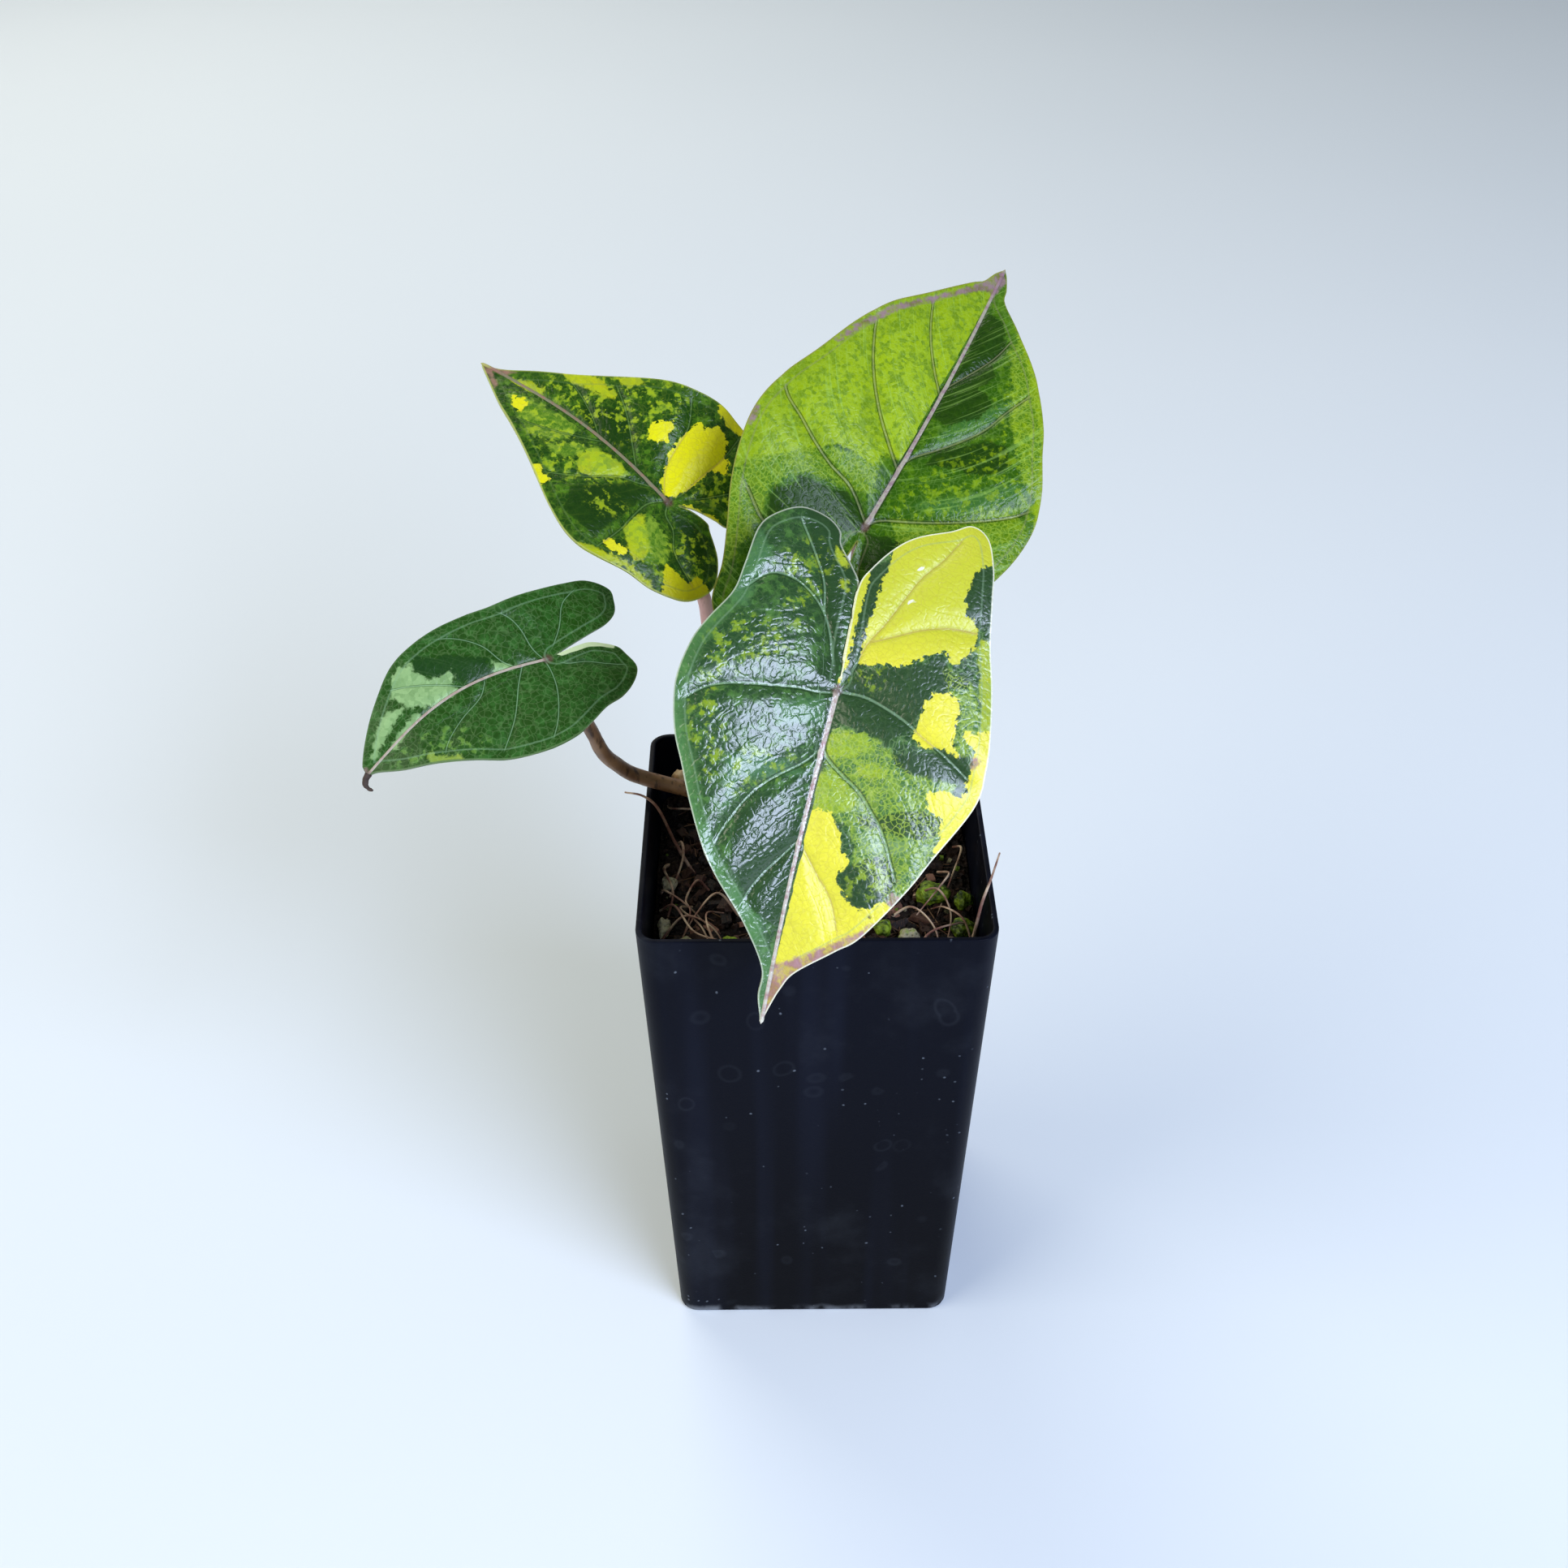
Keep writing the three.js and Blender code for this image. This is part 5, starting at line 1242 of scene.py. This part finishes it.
# Colours of each blade's tissues, and how strongly each of its marks shows.
LEAF_COLOURS = {
    "front": {
        "dark": "#1F4618", "light": "#46742C", "deep": "#193C10", "lime": "#96B00C", "yellow": "#EAE330",
        "pale": "#7E9F62", "grey": "#4A7C4A", "vein": "#86A880", "rib": "#CFC8B8", "flush": "#A87C7C",
        "edge": "#F0F2D8", "brown": "#9A7450", "mesh": "#789A26", "band": "#568A48", "shade": "#C4CB28",
        "pale_mark": "#EDEFDC",
        "net": 0.40, "calm": 0.75, "streak": 0.03, "scorch": 1.0, "banded": 0.5,
        "gloss": 0.85, "grainy": 0.8, "netted": 0.6, "blotched": 0.7, "scald": 0.4, "creased": 1.0,
    },
    "upper": {
        "dark": "#2C5604", "light": "#517A08", "deep": "#0C2202", "lime": "#96B20C", "yellow": "#D9DC3A",
        "pale": "#9CC65E", "grey": "#3C6C30", "vein": "#85845F", "rib": "#ADA792", "flush": "#957480",
        "edge": "#8C8C3C", "brown": "#6E5840", "mesh": "#65860E", "band": "#5E8A1C", "shade": "#6E8C0C",
        "pale_mark": "#EDEFDC",
        "net": 0.12, "calm": 0.0, "streak": 0.30, "scorch": 0.85, "banded": 0.3,
        "gloss": 0.22, "grainy": 0.9, "netted": 0.4, "blotched": 0.45, "scald": -0.2, "creased": 0.7,
    },
    "back": {
        "dark": "#1E4209", "light": "#4C7716", "deep": "#153306", "lime": "#A9BE1C", "yellow": "#E2DE08",
        "pale": "#8FAA36", "grey": "#416A2A", "vein": "#5E7C42", "rib": "#7F7E60", "flush": "#96705F",
        "edge": "#B6BE60", "brown": "#8E6C5C", "mesh": "#7C9A2A", "band": "#4A7420", "shade": "#BDB808",
        "pale_mark": "#EDEFDC",
        "net": 0.12, "calm": 0.0, "streak": 0.05, "scorch": 0.9, "banded": 0.2,
        "gloss": 0.22, "grainy": 0.9, "netted": 0.15, "blotched": 0.7, "scald": -0.2, "creased": 0.7,
    },
    "low": {
        "dark": "#21470F", "light": "#326224", "deep": "#183A16", "lime": "#6C943A", "yellow": "#B5C04E",
        "pale": "#A3C884", "grey": "#3C6E3C", "vein": "#86AC80", "rib": "#B9AE9C", "flush": "#A98C80",
        "edge": "#5E7A4A", "brown": "#4C4038", "mesh": "#5A883A", "band": "#2F5C22", "shade": "#A0AC40",
        "pale_mark": "#C9D8A4",
        "net": 0.11, "calm": 0.0, "streak": 0.03, "scorch": 1.0, "banded": 0.2,
        "gloss": 0.22, "grainy": 0.5, "netted": 0.15, "blotched": 0.7, "scald": 0.0, "creased": 0.35,
    },
}


def spline_point(points, index):
    """A point on the uniform spline through the points, by its place in the list."""
    last = len(points) - 1
    here = min(int(index), last)
    share = index - here
    p0, p1, p2, p3 = (points[max(0, min(place, last))] for place in range(here - 1, here + 3))
    leave, arrive = (p2 - p0) * 0.5, (p3 - p1) * 0.5
    return (
        (2 * p1 - 2 * p2 + leave + arrive) * share**3 + (-3 * p1 + 3 * p2 - 2 * leave - arrive) * share**2
        + leave * share + p1
    )


def half_outline(leaf, half):
    """The points that one half's margin goes through, from the tip to the notch."""
    return np.array([(0, leaf["length"]), *half["margin"], *half["lobe"], *half["notch"]], float)


def half_rows(leaf, half, margin_rows, lobe_rows):
    """Where each row of one half starts, on the midrib or basal vein, and ends, on the margin."""
    points = half_outline(leaf, half)
    vein_end = len(half["margin"])
    lobe_end = vein_end + len(half["lobe"])
    last = len(points) - 1
    bend, end = (np.array(point, float) for point in half["basal_vein"])
    low = spline_point(points, vein_end)[1]
    rows = []
    for row in range(margin_rows + 1):
        share = 1 - row / margin_rows
        above, below = 0.0, float(vein_end)
        for _ in range(30):
            middle = (above + below) / 2
            if spline_point(points, middle)[1] > low + (leaf["length"] - low) * share:
                above = middle
            else:
                below = middle
        along = leaf["length"] * share**RIB_SWEEP
        start = np.array((leaf["bow"] * math.sin(math.pi * along / leaf["length"]), along))
        rows.append((start, points[0] if row == 0 else spline_point(points, below)))
    for first, last_index, leaving in ((vein_end, lobe_end, True), (lobe_end, last, False)):
        for row in range(1, lobe_rows + 1):
            share = row / lobe_rows
            away = share if leaving else 1 - share
            start = 2 * away * (1 - away) * bend + away**2 * end
            rows.append((start, spline_point(points, first + (last_index - first) * share)))
    return rows


def blade_half(leaf, half, margin_rows, lobe_rows, columns):
    """One half of a blade, flat: a grid whose rows run from vein to margin."""
    rows = half_rows(leaf, half, margin_rows, lobe_rows)
    bpy.ops.object.select_all(action="DESELECT")
    bpy.ops.mesh.primitive_grid_add(x_subdivisions=columns, y_subdivisions=len(rows) - 1, size=1)
    sheet = new_piece("blade_half")
    for vertex in sheet.data.vertices:
        start, edge = rows[round((0.5 - vertex.co.y) * (len(rows) - 1))]
        spot = start + (edge - start) * (vertex.co.x + 0.5) ** COLUMN_SWEEP
        vertex.co = (spot[0] * MM, spot[1] * MM, 0)
    return sheet


def line_distance(u, v, line):
    """How far each point is from a line of points, and on which side of it."""
    distance = np.full(len(u), 1e6)
    side = np.ones(len(u))
    for (u0, v0), (u1, v1) in zip(line, line[1:]):
        du, dv = u1 - u0, v1 - v0
        share = np.clip(((u - u0) * du + (v - v0) * dv) / max(du * du + dv * dv, 1e-9), 0, 1)
        away = np.hypot(u - u0 - share * du, v - v0 - share * dv)
        closer = away < distance
        distance = np.where(closer, away, distance)
        side = np.where(closer, np.where((u - u0) * dv - (v - v0) * du > 0, 1.0, -1.0), side)
    return distance, side


def patch_depth(u, v, outlines):
    """How deep each point lies inside the nearest patch, in millimetres, or minus how far outside."""
    depth = np.full(len(u), NO_PATCH)
    for outline in outlines:
        closed = [*outline, outline[0]]
        across = [point[0] for point in outline]
        if min(across) < -CROSSING and max(across) > CROSSING:
            on_side = np.ones(len(u), bool)
        else:
            on_side = u > 0 if sum(across) > 0 else u <= 0
        inside = np.zeros(len(u), bool)
        for (u0, v0), (u1, v1) in zip(closed, closed[1:]):
            if v0 != v1:
                inside ^= ((v0 > v) != (v1 > v)) & (u < u0 + (u1 - u0) * (v - v0) / (v1 - v0))
        distance = line_distance(u, v, closed)[0]
        depth = np.maximum(depth, np.where(on_side, np.where(inside, distance, -distance), NO_PATCH))
    return depth


def smooth_vein(points):
    """A side vein as a finer line through its points."""
    route = curve_through([(u, v, 0) for u, v in points], 4)
    return [(point.x, point.y) for point in route]


def blade_height(shape, u, v):
    """How far the blade stands out of its plane: its fold, arch, rolled margin and waves."""
    size = np.abs(u)
    valley = shape["fold"] * (np.hypot(u, VEIN_SOFTNESS) - VEIN_SOFTNESS)
    arch = np.where(v > 0, shape["arch"], shape["lobe_arch"]) * v * v
    roll = shape["roll"] * np.maximum(0, size - shape["roll_from"]) ** 2
    ripple = shape["wave"] * np.sin(shape["pitch"] * v + shape["phase"] * (np.sign(u) + 1))
    return valley - arch - roll + ripple * np.minimum(1.2, size / shape["half"]) ** 2


def blade_marks(leaf, u, v, rib_half):
    """What the blade's points carry: distances to its margin and veins, and the run of its tissue."""
    length = leaf["length"]
    margin = np.full(len(u), 1e6)
    for half in (leaf["right"], leaf["left"]):
        points = half_outline(leaf, half)
        edge = [spline_point(points, index) for index in np.linspace(0, len(points) - 1, MARGIN_STEPS)]
        margin = np.minimum(margin, line_distance(u, v, edge)[0])
    shares = np.linspace(0, 1, RIB_STEPS)
    rib_line = [(leaf["bow"] * math.sin(math.pi * share), length * share) for share in shares]
    rib_distance, rib_side = line_distance(u, v, rib_line)
    vein_distance, vein_sign = rib_distance.copy(), np.ones(len(u))
    on_right = rib_side > 0
    for half, of_half in ((leaf["right"], on_right), (leaf["left"], ~on_right)):
        for vein in half["veins"]:
            distance, side = line_distance(u, v, smooth_vein(vein))
            vein_distance = np.where(of_half, np.minimum(vein_distance, distance), vein_distance)
            vein_sign = np.where(of_half, vein_sign * side, vein_sign)
    from_hub = np.hypot(u, v)
    flow = v - np.abs(u) * (0.30 + 0.026 * np.maximum(v, 0))
    vein_half = rib_half * (0.66 - 0.33 * np.clip(from_hub / length, 0, 1))
    return {
        "margin": margin,
        "rib": rib_distance * rib_side / (rib_half * (1 - 0.7 * np.clip(v / length, 0, 1))),
        "vein": np.clip(vein_distance, 0, 4) * vein_sign / vein_half,
        "vein_distance": vein_distance,
        "hub": from_hub,
        "flow": flow,
    }


def crumple(u, flow):
    """Fine wrinkles that follow the tissue, from -1 to 1."""
    places = [
        Vector((along / CRINKLE_ALONG, abs(across) / CRINKLE_ACROSS, 7.0 if across > 0 else 0.0))
        for across, along in zip(u, flow)
    ]
    return np.array([noise.fractal(place, 0.9, 2.0, 3) for place in places])


def blade_relief(name, marks, u, v):
    """How far the skin stands out of the blade's form: quilting, side veins, midrib and wrinkles."""
    away = marks["vein_distance"]
    between = 1 - np.exp(-((away / QUILT_REACH) ** 2))
    at_edge = np.clip(marks["margin"] / EDGE_FADE, 0, 1)
    relief = QUILT * (between - 0.5) * at_edge - GROOVE * np.exp(-((away / GROOVE_HALF) ** 2)) * at_edge
    relief += RIB_RISE * np.exp(-((marks["rib"] / RIB_ROUND) ** 2)) * (v > 0)
    near_rib = 1 + 0.8 * np.exp(-((u / 9) ** 2))
    wrinkles = CRINKLE * near_rib * crumple(u, marks["flow"])
    relief += wrinkles * (1 - np.exp(-((away / CRINKLE_FROM) ** 2))) * at_edge
    return relief * RELIEF[name]


def blade_piece(name, leaf):
    """A whole blade: two halves joined on the midrib and raised to its form."""
    share = 1.0 if name in FINE_LEAVES else COARSE_SHARE
    counts = [round(count * share) for count in (MARGIN_ROWS, LOBE_ROWS, COLUMNS)]
    blade = join(f"{name}_blade", [blade_half(leaf, leaf[side], *counts) for side in ("right", "left")])
    bpy.ops.object.mode_set(mode="EDIT")
    bpy.ops.mesh.select_all(action="SELECT")
    bpy.ops.mesh.remove_doubles(threshold=WELD * MM)
    bpy.ops.mesh.normals_make_consistent(inside=False)
    bpy.ops.object.mode_set(mode="OBJECT")
    if sum(face.normal.z * face.area for face in blade.data.polygons) < 0:
        blade.data.flip_normals()
    flat = np.zeros(3 * len(blade.data.vertices))
    blade.data.vertices.foreach_get("co", flat)
    u, v = flat.reshape(-1, 3)[:, 0] / MM, flat.reshape(-1, 3)[:, 1] / MM
    marks = blade_marks(leaf, u, v, RIB_HALF[name])
    height = blade_height(leaf["shape"], u, v) + blade_relief(name, marks, u, v)
    shift = np.zeros(len(u))
    if name == "front":
        tucked = np.clip((-v - 0.6) / 4, 0, 1) * (u > 0)
        shift = -SINUS_OVERLAP * tucked * np.exp(-u / 3)
        height = height - SINUS_DROP * tucked * np.exp(-u / 4)
    across, along, out = (np.array(axis) for axis in blade_axes(leaf))
    places = (
        np.array(leaf["hub"]) + (u + shift)[:, None] * across
        + v[:, None] * along + height[:, None] * out
    )
    blade.data.vertices.foreach_set("co", (places * MM).ravel())
    for mark in ("margin", "rib", "vein", "hub"):
        layer = blade.data.attributes.new(mark, "FLOAT", "POINT")
        layer.data.foreach_set("value", marks[mark])
    for kind in PATCH_KINDS:
        layer = blade.data.attributes.new(kind, "FLOAT", "POINT")
        layer.data.foreach_set("value", patch_depth(u, v, PATCHES[name].get(kind, [])))
    for layer_name, columns in (
        ("flat", (u, v, np.zeros(len(u)))),
        ("flow", (marks["flow"], np.abs(u) * 0.5, 40.0 * (u > 0))),
    ):
        layer = blade.data.attributes.new(layer_name, "FLOAT_VECTOR", "POINT")
        layer.data.foreach_set("vector", np.stack(columns, axis=1).ravel())
    blade.data.update()
    while blade.data.uv_layers:
        blade.data.uv_layers.remove(blade.data.uv_layers[0])
    return blade


def leaf_skin(name, colours):
    """The upper face: green tissue with a pale net of veins, and the patches over it."""
    skin = Finish(f"{name}_upper_skin", roughness=0.2, specular=colours["gloss"])
    flat = skin.reading("flat", "Vector")
    flow = skin.reading("flow", "Vector")
    broad = skin.grain(flat, 6.0, detail=3.0)
    middling = skin.grain(flat, 2.4, detail=3.0, rough=0.6)
    fine = skin.grain(flat, 1.2, detail=4.0, rough=0.6)
    block = skin.part(skin.cells(flat, 0.8, output="Color"), "X")
    wobble = 1.7 * (fine - 0.5) + 0.6 * (block - 0.5)
    tint = {key: linear(value) for key, value in colours.items() if isinstance(value, str)}

    def patch(kind, soft=0.12):
        return (skin.reading(kind) + wobble).between(-soft, soft)

    curls = skin.grain(flat, 1.5, output="Color")
    warped = skin.vector("ADD", flat, skin.vector("MULTIPLY", curls, (1.1, 1.1, 0)))
    net = 1 - skin.cells(warped, 1.1, feature="DISTANCE_TO_EDGE").between(0.0, 0.10)
    veinlets = 1 - skin.cells(warped, 0.85, feature="DISTANCE_TO_EDGE").between(0.02, 0.12)
    streak = skin.grain(skin.vector("MULTIPLY", flow, (1, 0.10, 1)), 0.55, detail=2.0)
    left_half = skin.part(flat, "X").between(0.6, -0.6)
    margin = skin.reading("margin")

    # Green tissue with its cells and flecks
    ground = skin.mix((middling + 0.3 * block).between(0.52, 0.95), tint["dark"], tint["light"])
    deep, grey, mesh = patch("deep", 0.25), patch("grey", 0.8), patch("mesh", 0.5)
    lime, pale, yellow = patch("lime", 0.35), patch("pale", 0.3), patch("yellow")
    colour = skin.mix(grey * 0.7, ground, skin.mix(block * 0.4, tint["grey"], tint["light"]))
    band = (margin + 1.8 * (middling - 0.5)).between(3.0, 1.0) * (1 - left_half) * colours["banded"]
    band = band * skin.part(flat, "Y").between(-14, -6)
    colour = skin.mix(band, colour, tint["band"])
    cells = skin.mix((middling + 0.4 * block).between(0.55, 0.85), tint["light"], tint["mesh"])
    colour = skin.mix(mesh * 0.9, colour, cells)
    colour = skin.mix(deep * 0.9, colour, skin.mix(fine * 0.7, tint["deep"], tint["dark"]))
    blotch = (1.2 * middling + 0.4 * fine + 0.1 * block).between(0.85, 1.0) * patch("fleck", 1.2)
    fleck = skin.mix(fine.between(0.4, 0.65), tint["mesh"], tint["lime"])
    colour = skin.mix(blotch * colours["blotched"], colour, fleck)
    colour = skin.mix(pale * 0.8, colour, skin.mix(block * 0.4, tint["pale"], tint["light"]))

    # Lime tissue, the net of veinlets and yellow tissue
    grains = (block * 0.4 + middling).between(0.60, 0.92) * colours["grainy"]
    lime_tissue = skin.mix(grains, tint["lime"], tint["mesh"])
    shaded = (broad + 0.5 * fine).between(0.72, 0.95) * 0.4 + margin.between(9, 0.5) * 0.4
    lime_tissue = skin.mix(shaded, lime_tissue, tint["shade"])
    colour = skin.mix(lime * 0.95, colour, lime_tissue)
    calm = 1 - (1 - left_half) * colours["calm"]
    colour = skin.mix(net * (1 - deep * 0.85) * calm * colours["net"], colour, tint["pale"])
    netted = veinlets * (mesh + 0.5 * lime).within() * colours["netted"]
    colour = skin.mix(netted, colour, linear("#A6C240"))
    colour = skin.mix(streak.between(0.56, 0.70) * colours["streak"], colour, tint["pale"])
    yellow_with_shade = skin.mix(broad.between(0.35, 0.7) * 0.4, tint["yellow"], linear("#D2CE34"))
    # Painted shade: the yellow darkens towards the lobes, below the hub.
    yellow_with_shade = skin.mix(skin.part(flat, "Y").between(0, -18) * 0.9, yellow_with_shade, tint["shade"])
    yellow_with_shade = skin.mix(net * 0.22, yellow_with_shade, linear("#AE9E34"))
    colour = skin.mix(yellow, colour, yellow_with_shade)

    # Side veins and midrib, each between two darker lines of painted shade
    rib, vein = abs(skin.reading("rib")), abs(skin.reading("vein"))
    fade = margin.between(1.0, 2.6)
    side_vein = (1 - vein.between(0.4, 1.1)) * fade
    vein_edge_shade = (1 - abs(vein - 1.35).between(0.1, 0.7)) * fade
    colour = skin.mix(vein_edge_shade * 0.7 * (1 - yellow * 0.8), colour, tint["deep"])
    colour = skin.mix(side_vein * 0.55, colour, skin.mix(yellow, tint["vein"], linear("#A98F4A")))
    rib_edge_shade = 1 - abs(rib - 1.35).between(0.15, 0.6)
    colour = skin.mix(rib_edge_shade * 0.5 * (1 - yellow * 0.6), colour, tint["deep"])
    cord = skin.mix((fine - 0.1).between(0.3, 0.6), tint["rib"], tint["flush"])
    colour = skin.mix((1 - rib.between(0.6, 1.1)) * 0.95, colour, cord)
    colour = skin.mix((1 - skin.reading("hub").between(0.4, 1.3)) * 0.8, colour, linear("#5A4036"))

    # The margin, dried tips, pale marks and specks
    submargin = (1 - abs(margin - 1.9).between(0.06, 0.25)) * 0.3
    colour = skin.mix(submargin, colour, tint["vein"])
    brown = (skin.reading("brown") + 0.5 * wobble + colours["scald"]).between(-0.4, 0.4)
    scorched = skin.mix((broad + fine).between(0.8, 1.15), tint["brown"], tint["flush"])
    worn = brown * (0.6 + 0.4 * (middling + fine).between(0.75, 1.10)) * colours["scorch"]
    colour = skin.mix(worn, colour, scorched)
    rim = (1 - margin.between(0.08, 0.34)) * (0.45 + 0.4 * left_half)
    colour = skin.mix(rim, colour, tint["edge"])
    # Near-white marks: two small crescents on the front blade and a pale strip by the low blade's notch.
    colour = skin.mix((skin.reading("pale_mark") + 0.1).between(-0.08, 0.08), colour, tint["pale_mark"])
    colour = skin.mix(skin.reading("speck").between(-0.1, 0.1), colour, linear("#2A2016"))
    skin.set("Base Color", colour)

    # A waxy gloss with fine creases
    skin.set("Roughness", 0.19 + 0.08 * fine + 0.12 * brown + 0.08 * left_half + 0.12 * yellow)
    folds = skin.grain(skin.vector("MULTIPLY", flow, (1, 0.6, 1)), 2.4, detail=1.0)
    cross_folds = skin.grain(flat, 1.7, detail=1.0)
    creases = abs(folds - 0.5).between(0.0, 0.10) + abs(cross_folds - 0.5).between(0.0, 0.10)
    wrinkled = skin.bump(creases * colours["creased"], 0.00012, 0.36)
    skin.set("Normal", skin.bump(net * -1.0, 0.00002, 0.4, after=wrinkled))
    return skin.material


def leaf_underside(name, colours):
    """The lower face: paler, duller green with the net of veins raised."""
    under = Finish(f"{name}_under_skin", roughness=0.5, specular=0.4)
    flat, flow = under.reading("flat", "Vector"), under.reading("flow", "Vector")
    fine = under.grain(flat, 1.3, detail=4.0)
    green = under.mix(0.45, linear(colours["light"]), linear("#93A97E"))
    tissue = under.mix(fine * 0.5, green, linear("#A9BC8E"))
    wobble = 2.2 * (fine - 0.5)
    yellow = (under.reading("yellow") + wobble).between(-0.3, 0.3)
    tissue = under.mix(yellow * 0.8, tissue, linear("#D5D486"))
    net = 1 - under.cells(flow, 1.0, feature="DISTANCE_TO_EDGE").between(0.02, 0.16)
    vein = 1 - abs(under.reading("vein")).between(0.5, 1.4)
    rib = 1 - abs(under.reading("rib")).between(0.7, 1.5)
    tissue = under.mix(net * 0.35, tissue, linear("#C3CFA6"))
    tissue = under.mix(vein * 0.6, tissue, linear("#CDBFA0"))
    tissue = under.mix(rib * 0.8, tissue, linear("#C59F8C"))
    under.set("Base Color", tissue)
    under.set("Roughness", 0.48 + 0.12 * fine)
    under.set("Normal", under.bump(net + vein + rib, 0.00018, 0.7))
    return under.material


for name, leaf in LEAVES.items():
    blade = blade_piece(name, leaf)
    blade.data.materials.append(leaf_skin(name, LEAF_COLOURS[name]))
    blade.data.materials.append(leaf_underside(name, LEAF_COLOURS[name]))
    pick(blade)
    thicken = blade.modifiers.new("thickness", "SOLIDIFY")
    thicken.thickness = BLADE_THICKNESS * MM
    thicken.offset = 0
    thicken.material_offset = 1
    bpy.ops.object.modifier_apply(modifier=thicken.name)
    finish_piece(blade, None, f"{name}_leaf", f"{name}_leaf_blade", smooth_under=60)


# The low leaf's dried tip: the last few millimetres of its blade have died back. They are dark,
# shrunk to a thin horn and curled under.
HOOK = [(0.2, 36.2, 0.0), (-0.3, 37.1, -0.1), (-1.0, 37.5, -0.3), (-1.8, 37.4, -0.6), (-2.5, 37.0, -0.8)]
HOOK_RADIUS, HOOK_END_RADIUS = 0.5, 0.14
HOOK_RINGS, HOOK_SIDES = 30, 16


def hook_radius(share):
    """The horn thins to a blunt end."""
    return HOOK_RADIUS * (1 - share) ** 0.6 + HOOK_END_RADIUS


low = LEAVES["low"]
across, along, out = blade_axes(low)
hook_route = []
for u, v, drop in HOOK:
    rise = float(blade_height(low["shape"], np.array([u]), np.array([v]))[0]) + drop
    hook_route.append(Vector(low["hub"]) + u * across + v * along + rise * out)
hook_line = evenly(curve_through(hook_route, 10), HOOK_RINGS)
hook = tube("low_leaf_tip", hook_line, hook_radius, HOOK_SIDES)
roughen(hook, depth=0.12, size=0.8, seed=30)
dried = Finish("dried_tip", roughness=0.7, specular=0.3)
where = dried.place()
dried.set("Base Color", dried.mix(dried.grain(where, 0.0008), linear("#1E1A16"), linear("#5A4A40")))
dried.set("Normal", dried.bump(dried.grain(where, 0.0003), 0.0002, 0.7))
finish_piece(hook, dried.material, "low_leaf", smooth_under=60)
